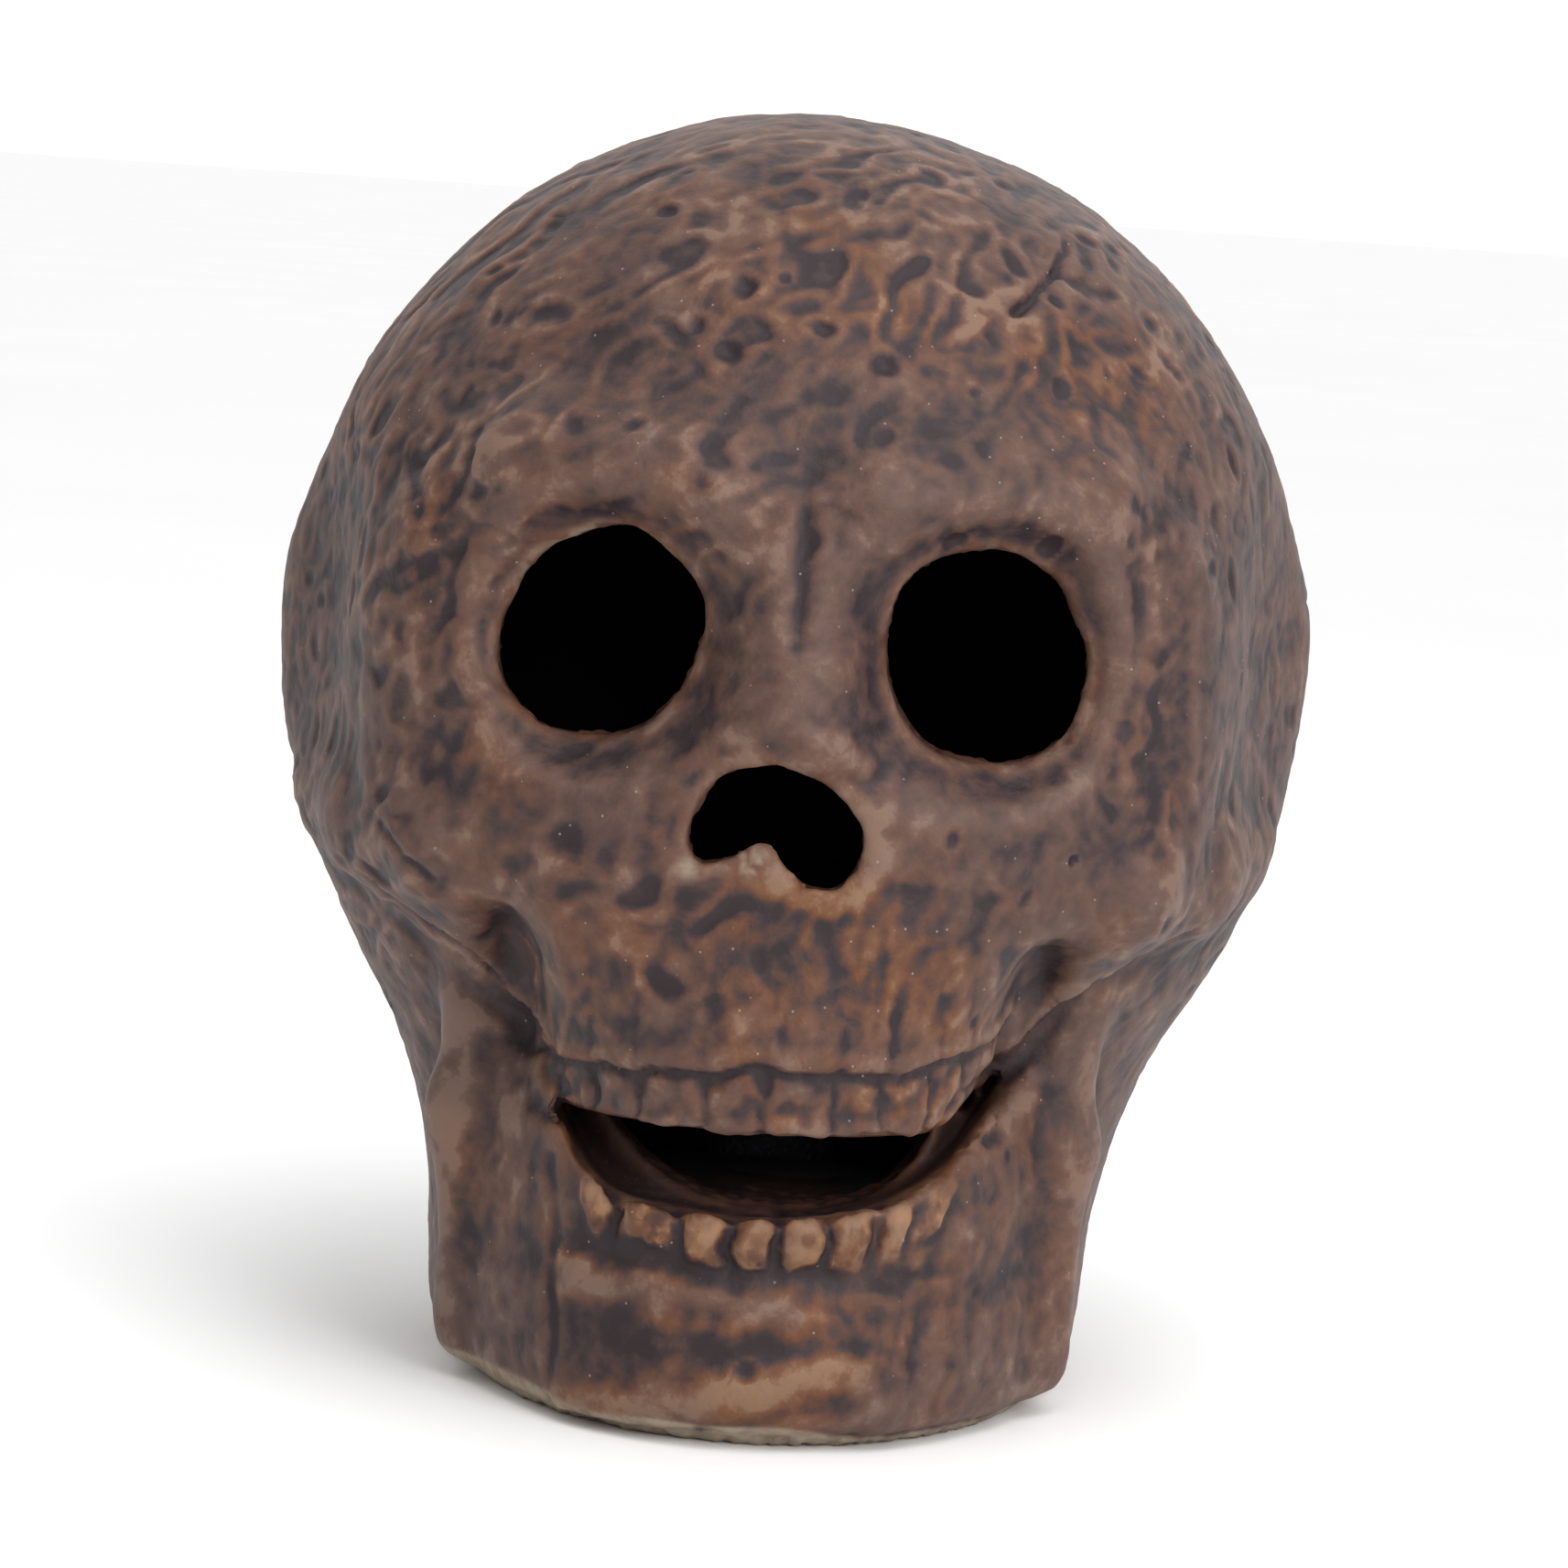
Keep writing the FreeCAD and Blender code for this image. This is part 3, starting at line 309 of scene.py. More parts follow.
def normals_of(p, quads):
    n = np.cross(p[quads[:, 2]] - p[quads[:, 0]], p[quads[:, 3]] - p[quads[:, 1]])
    out = np.zeros_like(p)
    for k in range(4):
        for a in range(3):
            out[:, a] += np.bincount(quads[:, k], n[:, a], len(p))
    return out / (np.linalg.norm(out, axis=1, keepdims=True) + 1e-12)


def averager(n, e):
    cnt = np.bincount(e[:, 0], minlength=n) + np.bincount(e[:, 1], minlength=n)

    def avg(v):
        out = np.empty_like(v, dtype=np.float64)
        cols = v.reshape(n, -1)
        res = out.reshape(n, -1)
        for a in range(cols.shape[1]):
            res[:, a] = (np.bincount(e[:, 0], cols[e[:, 1], a], n) + np.bincount(e[:, 1], cols[e[:, 0], a], n)) / cnt
        return out
    return avg


p, quads = surface(STEP)
N = len(p)
avg = averager(N, edges_of(quads))
# take the grid's stair marks off
for _ in range(2):
    q = avg(p)
    q[:, 2] = np.where(p[:, 2] < 0.02, p[:, 2], q[:, 2])
    p = p * 0.5 + q * 0.5
p[:, 2] = np.where(p[:, 2] < 0.12, 0.0, p[:, 2])
nrm = normals_of(p, quads)


def at(fn, pts, chunk=60000):
    def one(i):
        s = pts[i:i + chunk]
        return fn(s[:, 0].astype(F), s[:, 1].astype(F), s[:, 2].astype(F))
    with ThreadPoolExecutor(4) as pool:
        return np.concatenate(list(pool.map(one, range(0, len(pts), chunk))))


depth = at(recessed, p)                              # 0 on the outer skin, -WALL on the inner
outer = step(-1.5, -0.45, depth)
inner = 1.0 - step(-WALL + 0.5, -WALL + 1.6, depth)
x, y, z = p[:, 0], p[:, 1], p[:, 2]
front = step(-18, -30, y)
arch = ((np.abs(x) / 36.0)**2.1 + (np.abs(np.minimum(y - 3.0, 0)) / 57.2)**2.1)**(1 / 2.1)
sunk = step(0.975, 0.93, arch) * step(24.0, 25.4, z) * step(39.0, 36.5, z) * step(27.0, 25.0, np.abs(x)) * front * outer


def gauss(d, s):
    return np.exp(-0.5 * (d / s)**2)


# ---------------------------------------------------------------------------
# Modelled relief, as outward movement in mm
# ---------------------------------------------------------------------------
warp = np.stack([fbm(p, 7.0, 3, 11), fbm(p, 7.0, 3, 21), fbm(p, 7.0, 3, 31)], 1)
wx, wz = x + 0.75 * warp[:, 0], z + 0.75 * warp[:, 2]
rel = np.zeros(N)
skin = outer * (1 - sunk)

# upper teeth, set back under the gum ridge
bounds_x = [-27.0, -22.6, -18.5, -14.1, -6.6, 0.0, 7.3, 13.2, 17.9, 21.3, 25.0]
gum = [(-27, 39.0), (-23.8, 39.0), (-16.2, 40.0), (-6.8, 41.0), (1.6, 41.8), (6.6, 41.6), (11.6, 40.9), (15.2, 41.3),
       (21.4, 43.0), (26, 46)]
gz = curve(wx, gum) + 0.55 * noise(p, 4.5, 18)
top = step(0.4, -0.6, wz - gz)
band = top * step(31.0, 32.4, z) * step(26.5, 24.0, np.abs(x)) * front
tw = 0.42 * noise(p, 2.3, 15)
tooth = np.zeros(N)
for a, b in zip(bounds_x[:-1], bounds_x[1:]):
    t = np.clip((wx + tw - a) / (b - a), 0, 1)
    w = (4 * t * (1 - t))**0.55
    tooth = np.maximum(tooth, np.where((wx + tw > a) & (wx + tw < b), w, 0))
lean = 0.72 + 0.50 * noise(p, 4.0, 3)
vert = step(0.0, 1.6, gz - wz) * (0.7 + 0.3 * step(33.0, 35.0, z))
upper_tooth = band * tooth * vert
rel += band * (-1.25 + 1.05 * tooth * vert * lean + 0.22 * noise(p, 2.0, 16)) * skin
rel += gauss(wz - gz - 0.9, 0.95) * step(27, 24, np.abs(x)) * front * (0.75 + 0.35 * noise(p, 4.0, 5)) * skin * 0.28
# roots over the gum ridge
over = step(-0.2, 0.8, wz - gz) * step(12.0, 5.0, wz - gz) * step(25, 20, np.abs(x)) * front
rel += over * (0.55 * tooth - 0.3) * (0.6 + 0.8 * noise(p, 6.0, 8)) * skin

# lower teeth
lower_tooth = np.zeros(N)
lt_n = np.zeros(N)
facing = step(-0.25, -0.6, nrm[:, 1])
for cx, cz, w, h, tilt, amp in ((-17.3, 23.4, 3.6, 5.2, 0.25, 0.9), (-11.5, 22.8, 5.2, 5.6, 0.14, 1.15),
                                (-5.5, 21.7, 5.5, 5.8, 0.06, 1.3), (-0.2, 21.9, 3.8, 5.8, 0.0, 1.15),
                                (4.9, 21.9, 4.7, 5.4, -0.03, 1.3), (9.9, 21.9, 3.8, 6.4, -0.08, 1.0),
                                (14.5, 23.4, 2.8, 5.4, -0.15, 1.0), (18.4, 25.2, 3.2, 5.4, -0.3, 0.8)):
    dx = (wx + tw - cx) + tilt * (wz - cz)
    dz = wz + 0.8 * tw - cz - 0.6
    h = h + 1.3
    k = (np.abs(dx / (w / 2))**2.7 + np.abs(dz / (h / 2))**2.7)**(1 / 2.7)
    lower_tooth = np.maximum(lower_tooth, amp * facing * step(1.25, 0.35, k))
    lt_n = np.maximum(lt_n, step(1.2, 0.5, k))
jawface = front * step(1.6, 0.4, z - curve(x, JAW_TOP)) * step(40, 36, z) * skin
rel += (lower_tooth * (1.08 + 0.34 * noise(p, 1.9, 17)) - 0.35 * step(17.8, 19.0, z) * step(22, 19, np.abs(x))) * jawface
for cx, cz, w, h, d in ((-15.3, 23.0, 0.55, 1.9, 1.2), (-2.55, 21.0, 0.6, 1.5, 0.8), (2.25, 22.0, 0.45, 2.4, 0.6),
                        (12.6, 23.2, 0.5, 2.0, 1.0), (-8.6, 22.6, 0.5, 2.0, 0.35), (7.6, 21.8, 0.45, 2.2, 0.4)):
    rel -= d * gauss(wx - cx, w) * gauss(wz - cz, h) * jawface

# chin: ridge, lump, sunk band and foot ridge
d, t = line_dist(wx, wz, [(-18.5, 15.9), (-13.5, 16.0), (-9.2, 15.6), (-3.0, 15.2), (4.0, 14.9)])
ridge = step(3.4, 0.9, d)
d_chin = d
rel += 1.15 * gauss(d, 1.8) * jawface * (0.8 + 0.45 * noise(p, 4.0, 9))
d2 = np.hypot(wx - 8.1, (wz - 13.6) * 0.9)
rel += 0.75 * gauss(d2, 2.1) * jawface
d3, _ = line_dist(wx, wz, [(-18.7, 3.0), (-10.3, 4.0), (0.4, 6.2), (6.0, 8.4), (10.0, 9.2)])
rel += 0.8 * gauss(d3, 1.7) * jawface
d4, _ = line_dist(wx, wz, [(11.8, 8.5), (13.0, 5.8), (15.0, 4.0)])
rel += 0.6 * gauss(d4, 1.4) * jawface
rel -= 0.55 * step(21.5, 18.5, np.abs(x + 1)) * gauss(z - 10.6, 2.6) * jawface
rel -= 0.5 * gauss(wz - 18.4, 0.8) * step(19, 16, np.abs(x)) * jawface
# long dents on the right of the chin
for k in range(5):
    cx = 15.5 + 2.7 * k
    rel -= (0.14 + 0.07 * (k % 2)) * gauss(wx - cx - 0.06 * (z - 14), 0.6) * gauss(z - 14 + 2 * (k % 3), 7.0) * front * skin
# crease where the mould pieces met, left of the chin
d, _ = line_dist(x + 0.12 * warp[:, 0], z, [(-22.6, 28.0), (-21.9, 22.0), (-21.4, 14.2), (-20.6, 0.0)])
rel += (-0.42 * gauss(d, 0.45) + 0.14 * gauss(d - 1.2, 0.6)) * front * skin * (0.7 + 0.5 * noise(p, 6.0, 42))
# mould lines over the temples
for pts, amp in (([(-30.0, 128.0), (-38.2, 119.4), (-43.5, 109.0), (-46.0, 100.0), (-46.6, 90.0), (-46.4, 79.6),
                   (-45.4, 70.0), (-44.6, 64.0), (-46.2, 54.0)], 0.20),
                 ([(40.5, 100.0), (42.4, 93.0), (42.6, 87.0), (43.0, 79.0), (43.6, 71.9), (45.4, 62.0), (46.8, 55.0)], 0.12)):
    d, t = line_dist(x + 0.2 * warp[:, 0], z, pts)
    rel += amp * (gauss(d, 0.5) - 0.35 * gauss(d - 1.6, 0.9)) * step(4, -6, y) * skin * step(0, 0.08, t) * step(1.0, 0.94, t)
# rim of the nose opening and the crest over it
nd = polar(x, z, (-0.4, 66.8), NOSE, 0.912)
rel += 0.6 * gauss(nd - 1.7, 1.3) * front * skin * (0.6 + 0.7 * noise(p, 3.6, 44))
d, t = line_dist(wx, wz, [(-11.5, 70.5), (-8.0, 75.0), (-2.0, 78.0), (3.5, 76.8), (8.0, 73.5)])
rel += 0.55 * gauss(d, 0.9) * front * skin * (0.8 + 0.4 * noise(p, 3.0, 41))
# furrow up the bridge
d, _ = line_dist(wx, wz, [(0.3, 86.0), (0.5, 92.0), (0.0, 99.0)])
rel -= 0.55 * gauss(d, 0.8) * front * skin
# torn clay on the orbit rims, and a thin lip where the knife left them
hole_edge = gauss(nd, 0.8)
for c, R in (((-20.6, 84.9), EYE_L), ((20.1, 84.9), EYE_R)):
    ed = polar(x, z, c, R, 0.928)
    rel += 0.25 * gauss(ed - 0.5, 0.6) * front * skin * (0.7 + 0.6 * noise(p, 3.5, 43))
    hole_edge = np.maximum(hole_edge, gauss(ed - 0.2, 0.8))
hole_edge = np.maximum(hole_edge, gauss(poly(x, z, MOUTH), 0.8) * step(-50, -49, y) * 0.5) * front * np.clip(0.55 + 0.8 * noise(p, 3.2, 45), 0, 1)
# beaded edges beside the orbits, and a crest on the vault
bead = np.zeros(N)
for pts, amp, w in (([(-33.3, 109.4), (-37.1, 104.4), (-39.5, 98.7), (-40.1, 93.8), (-40.6, 88.2), (-40.5, 82.0), (-39.4, 75.8), (-40.3, 70.8), (-41.0, 65.9)], 0.45, 0.9), ([(35.8, 98.8), (37.2, 93.4), (37.3, 87.2), (37.0, 82.3), (36.7, 77.4), (34.9, 72.4), (38.3, 68.8)], 0.45, 1.0), ([(-33.2, 93.4), (-35.0, 89.8), (-34.9, 82.3), (-33.1, 77.6)], 0.30, 1.1), ([(25.0, 124.7), (21.6, 124.1), (19.0, 122.2), (16.6, 121.7), (16.7, 119.6), (13.1, 117.7)], 0.30, 0.6)):
    d, t = line_dist(wx + 0.4 * tw, wz, pts)
    k = gauss(d, w) * (0.55 + 0.8 * np.clip(noise(p, 2.6, 46) + 0.2, 0, 1)) * step(0, 0.06, t) * step(1, 0.94, t) * front
    rel += (amp * k - 0.22 * gauss(d - 2.2, 0.9) * front * step(-0.1, 0.3, noise(p, 3.1, 47))) * skin
    bead = np.maximum(bead, k)
# lower borders of the cheekbones, undercut
CHEEK_L = [(-48, 57.1), (-42.6, 52.7), (-34.2, 47.5), (-26.8, 43.4), (-22.1, 38.5)]
CHEEK_R = [(45, 58), (40.5, 54.4), (31.3, 49.7), (25.8, 42.0), (21.1, 38.0)]
CHEEK_H = [(20, 37.0), (22, 38.5), (26.5, 42.6), (33, 48.2), (41.5, 53.5), (48, 57.5)]
for pts in (CHEEK_L, CHEEK_R):
    d, t = line_dist(wx, wz, pts)
    under = np.sign(curve(np.abs(wx), CHEEK_H) - wz)
    rel += (0.35 * gauss(d, 1.3) - 1.0 * gauss(d - 2.4, 1.5) * (under > 0)) * step(-4, -14, y) * skin * step(0, 0.1, t) * step(1.0, 0.85, t)
# dents on the cheeks and a crack on the vault
for cx, cz, r, dep in ((-22.5, 63.7, 2.6, 0.65), (-28.0, 60.0, 2.0, 0.3), (14.5, 60.0, 2.4, 0.4), (30.0, 64.3, 0.45, 0.8),
                       (-8.2, 122.0, 1.5, 0.7), (-8.7, 115.1, 1.4, 0.6), (7.2, 114.7, 1.6, 0.6), (-13.0, 118.0, 1.0, 0.4)):
    q = np.hypot(wx - cx, wz - cz)
    rel += (-dep * gauss(q, r * 0.62) + 0.22 * dep * gauss(q - r * 1.25, r * 0.4)) * front * skin
for pts, amp, w in (([(21.0, 121.5), (23.5, 123.6), (25.3, 125.8), (26.2, 128.5)], -0.8, 0.45),
                    ([(25.3, 125.8), (28.5, 124.6), (31.0, 123.0)], -0.4, 0.4),
                    ([(-42.6, 62.5), (-40.4, 59.5), (-37.3, 57.0)], -0.4, 0.35),
                    ([(-41.0, 62.5), (-39.0, 60.3), (-36.5, 58.6)], 0.3, 0.4)):
    d, _ = line_dist(wx, wz, pts)
    rel += amp * gauss(d, w) * front * skin

q = np.hypot(x + 4.6, z - 1.4)
pin = gauss(q, 0.55) * front * outer
# overall unevenness of the hand-finished surface
rel += (0.42 * fbm(p, 23.0, 2, 50) + 0.16 * fbm(p, 9.0, 2, 60)) * outer * (1 - 0.5 * sunk)
# worm-like ridges and shallow pools, strongest on the vault
pw = p + 1.3 * np.stack([noise(p, 5.5, 71), noise(p, 5.5, 72), noise(p, 5.5, 73)], 1)


def drawn(theta, long_, seed):
    """Noise drawn out along a slanting direction of the face."""
    c_, s_ = math.cos(math.radians(theta)), math.sin(math.radians(theta))
    q_ = np.stack([(pw[:, 0] * c_ + pw[:, 2] * s_) / long_, pw[:, 1] * 0.8, -pw[:, 0] * s_ + pw[:, 2] * c_], 1)
    return noise(q_, 3.7, seed)


wl = step(-4.0, 12.0, x + 4.0 * noise(p, 14.0, 74))
nf = (drawn(38, 2.3, 80) * (1 - wl) + drawn(72, 1.7, 85) * wl) / np.sqrt((1 - wl)**2 + wl**2)
maxil = gauss(x, 24.0) * step(-0.3, 0.6, wz - gz) * step(66, 58, z) * front
up = step(58, 52, z) * maxil
nf = nf * (1 - up) + drawn(88, 1.9, 88) * up
n2 = noise(pw, 2.3, 81)
n3 = noise(pw, 5.6, 82)
gate = 0.4 + 0.6 * step(-0.3, 0.3, noise(p, 13.0, 83))
gate *= 1 - 0.6 * step(2, 18, x) * step(118, 106, z) * step(60, 90, z)
worm = gauss(nf - 0.04, 0.20) * gate
blot = step(-0.26, -0.55, nf) * gate + 0.35 * step(0.25, 0.55, n3)
vault = step(84, 104, z)
jawz = step(46, 40, z)
flat = 1 - 0.6 * jawz
rough = (0.40 + 0.60 * np.maximum(vault, step(36, 44, np.abs(x)))) * flat
streak = noise(p * np.array([1.0, 1.0, 0.3]), 2.6, 84)       # finger marks down the jaw and the sides
teethy = np.clip(upper_tooth + lower_tooth, 0, 1)
fine = (0.17 * worm * (rough + 0.7 * maxil) - 0.23 * blot * (rough + 0.8 * maxil) + 0.07 * n2) * (1 - 0.6 * teethy)
fine += 0.06 * streak * np.clip(jawz + step(40, 46, np.abs(x)), 0, 1)
rel += fine * skin
rel += 0.05 * noise(p, 1.6, 90) * outer

# pits
tree = kdtree.KDTree(N)
live = np.nonzero((skin > 0.9) & (z > 3.5))[0]
for i in live:
    tree.insert(p[i], int(i))
tree.balance()
pits = np.zeros(N)
rng = np.random.RandomState(4)
picked = rng.choice(live, 460, replace=False)
for i in picked:
    c = p[i]
    if rng.rand() > (0.16 + 0.42 * float(step(84, 100, np.array(c[2]))) + (0.25 if abs(c[0]) > 46 else 0)):
        continue
    r = rng.uniform(0.5, 1.15) * (1.45 if rng.rand() < 0.15 else 1.0)
    dep = r * rng.uniform(0.26, 0.46)
    if c[2] < 52 and c[1] < -20 and abs(c[0]) > 19:
        r, dep = r * 0.6, dep * 0.5
    ax = rng.normal(size=3)
    ax -= nrm[i] * (ax @ nrm[i])
    ax /= np.linalg.norm(ax)
    st = rng.uniform(1.0, 2.1)
    near = np.array([j for _, j, _ in tree.find_range(c, r * st * 2.3)], dtype=np.int64)
    if not len(near):
        continue
    v = p[near] - c
    a = v @ ax
    q = np.sqrt(np.maximum((v * v).sum(1) - a * a, 0) + (a / st)**2) / r
    pits[near] = np.minimum(pits[near], -dep * np.exp(-1.3 * q**2.4) + 0 * q)
    pits[near] = np.where(pits[near] > -0.02, pits[near] + 0.22 * dep * np.exp(-((q - 1.55) / 0.35)**2), pits[near])
rel += pits * skin
edge_safe = step(0.25, 2.2, z)                       # leave the foot flat
move = rel * edge_safe
p2 = p + nrm * move[:, None]

# torn clay at the spine of the nose, and the cut walls
cutw = (1 - outer) * (1 - inner)
tear = cutw * step(-30, -36, y)
p2 += nrm * (tear * (0.35 * noise(p, 1.5, 95) + 0.2 * noise(p, 0.9, 96)))[:, None]
inside_move = inner * 0.5 * noise(p, 12.0, 97)
p2 += nrm * inside_move[:, None]

# ---------------------------------------------------------------------------
# Glaze thickness: thin on ridges, pooled in hollows
# ---------------------------------------------------------------------------
nrm2 = normals_of(p2, quads)
s = p2.copy()
curvs = []
marks = [round(k * (0.9 / STEP)**2) for k in (3, 8, 18)]
for k in range(marks[-1]):
    s = avg(s)
    if k + 1 in marks:
        curvs.append(((p2 - s) * nrm2).sum(1))
c_fine, c_mid, c_wide = [c / (np.abs(c[skin > 0.5]).mean() * 2.2 + 1e-9) for c in curvs]
break_ = 0.435 + 0.19 * np.tanh(1.3 * c_fine) + 0.12 * np.tanh(1.1 * c_mid) + 0.02 * np.tanh(c_wide)
break_ += 0.12 * worm * (rough + 0.5 * maxil) - 0.13 * blot * (rough + 1.1 * maxil) + 0.07 * bead
break_ -= 0.16 * (1 - step(0.35, 0.8, tooth)) * step(-0.4, 0.4, wz - gz) * step(5.5, 2.5, wz - gz) * step(26, 22, np.abs(x)) * front
# painted highlight: the right brow lighter where the light from the right falls; the bridge made lighter too
break_ += 0.05 * gauss(z - 100.5, 5.0) * step(4, 12, x) * step(46, 36, x) * front + 0.05 * gauss(x, 8) * gauss(z - 90, 12) * front
break_ += 0.11 * noise(p, 4.6, 19) + 0.07 * noise(p, 8.5, 20)
break_ += (0.17 * gauss(d_chin - 0.4, 1.6) - 0.16 * gauss(d_chin - 4.6, 1.5) + 0.16 * gauss(d3, 1.5)
           - 0.13 * gauss(d3 - 3.6, 1.3)) * jawface * step(13, 9, np.abs(x + 4) - 6)
break_ += (0.11 + 0.10 * noise(p, 3.4, 32)) * step(23, 29, np.abs(x)) * step(52, 44, z) * step(8, -4, y)
break_ -= 0.04 * gauss(x, 12) * gauss(z - 84, 12) * front
break_ -= 0.25 * lt_n * jawface * step(-0.02, 0.32, noise(p, 2.0, 27)) * step(0.5, 0.2, noise(p, 1.2, 30))
break_ += (0.02 + 0.14 * streak + 0.20 * noise(p, 2.6, 31)) * step(-21, -26, x) * step(46, 40, z) * step(8, -4, y)
break_ = np.clip(break_, 0, 1)

co = p2.copy()
co[:, 1] += SHIFT_Y
co[:, 2] = np.maximum(co[:, 2], 0.0)

me = bpy.data.meshes.new("skull_casting")
me.vertices.add(N)
me.vertices.foreach_set("co", (co * 0.001).astype(F).ravel())
me.loops.add(len(quads) * 4)
me.loops.foreach_set("vertex_index", quads.astype(np.int32).ravel())
me.polygons.add(len(quads))
me.polygons.foreach_set("loop_start", np.arange(0, len(quads) * 4, 4, dtype=np.int32))
me.polygons.foreach_set("loop_total", np.full(len(quads), 4, dtype=np.int32))
me.update(calc_edges=True)
me.validate()
me.polygons.foreach_set("use_smooth", np.ones(len(me.polygons), dtype=bool))


def attribute(name, values):
    a = me.attributes.new(name, "FLOAT", "POINT")
    a.data.foreach_set("value", np.asarray(values, dtype=F))


edge_ = gauss(d_chin - 2.6, 0.8)
mottle = step(-0.05, 0.35, noise(p, 2.9, 23))
lt_rim = step(0.10, 0.55, lt_n) * (1 - 0.75 * step(0.75, 1.0, lt_n) * step(-0.15, 0.25, noise(p, 2.2, 27)))
warm = (0.75 * np.clip(lower_tooth, 0, 1) + 0.6 * upper_tooth * mottle + 0.15 * ridge * jawface + 0.65 * edge_ * jawface
        + 0.55 * gauss(d3, 2.2) * jawface + 0.22 * step(0.6, 0.0, np.abs(wz - gz - 1.0) / 3) * front * (0.3 + mottle)
        + 0.22 * gauss(nd - 1.7, 2.0) * front + 0.6 * hole_edge
        + 0.55 * gauss(z - curve(x, JAW_TOP), 0.7) * step(30, 24, np.abs(x)) * front
        + 0.42 * worm * (0.25 + 0.75 * vault + 0.6 * maxil) + 0.25 * bead
        + 0.35 * step(0.05, 0.45, noise(p, 7.5, 28)) * step(80, 60, z) * front)
attribute("breaking", break_)
# mask of the inner walls, which the glaze paints near-black as painted shade
attribute("inside", inner)
attribute("cutface", cutw * (1 - 0.75 * step(44, 40, z)))
attribute("sunk", np.clip(sunk + cutw * step(44, 40, z) * step(-20, -25, y) * step(12, 16, z), 0, 1))
attribute("warm", np.clip(warm * skin, 0, 1))
attribute("side", np.clip(step(36, 46, np.abs(x)) + step(-10, 12, y) + 0.9 * step(19, 25, x) * step(50, 42, z)
                          + 0.8 * step(-22, -27, x) * step(48, 42, z), 0, 1) * skin)
attribute("teeth", np.clip(lt_rim * jawface * (0.62 + 1.25 * noise(p, 1.7, 24) + 0.7 * noise(p, 3.4, 29)), 0, 1))
attribute("pool", np.clip(-pits * 1.6 * skin + 1.4 * pin, 0, 1))
foot_line = 2.5 + 0.7 * noise(p, 9.0, 101) + 1.1 * step(-5, -32, x) - 1.3 * step(2, 16, x)
torn = 0.9 * gauss(np.hypot(x + 3.1, z - 62.7), 1.0) * step(-51, -53, y) * step(-0.1, 0.3, noise(p, 1.3, 25))
torn += 0.7 * gauss(np.hypot(x + 9.7, z - 61.6), 0.7) * step(-47, -49, y)
torn += 0.9 * gauss(polar(x, z, (-20.6, 84.9), EYE_L, 0.928), 0.45) * step(-19, -22, x) * step(89, 92, z) * step(0.0, 0.3, noise(p, 2.0, 26)) * front
attribute("bare", np.clip(step(foot_line + 0.35, foot_line - 0.25, z) + torn - 1.6 * pin, 0, 1) * (1 - inner))

skull = bpy.data.objects.new("skull_casting", me)
bpy.context.scene.collection.objects.link(skull)
# the inside needs far fewer faces than the glazed skin
vg = skull.vertex_groups.new(name="hidden")
vg.add([int(i) for i in np.nonzero(inner > 0.98)[0]], 1.0, "REPLACE")
dec = skull.modifiers.new("thin_inside", "DECIMATE")
dec.ratio = 0.6
dec.vertex_group = "hidden"
bpy.context.view_layer.objects.active = skull
skull.select_set(True)
bpy.ops.object.modifier_apply(modifier="thin_inside")
skull.vertex_groups.clear()
skull.data.polygons.foreach_set("use_smooth", np.ones(len(skull.data.polygons), dtype=bool))
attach(skull, "shell")
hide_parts("skull_shell")
print("skull mesh", len(skull.data.vertices), "points", len(skull.data.polygons), "faces")


# ---------------------------------------------------------------------------
# Materials
# ---------------------------------------------------------------------------
def lin(r, g, b):
    return tuple((c / 255 / 12.92) if c <= 10 else ((c / 255 + 0.055) / 1.055)**2.4 for c in (r, g, b)) + (1.0,)


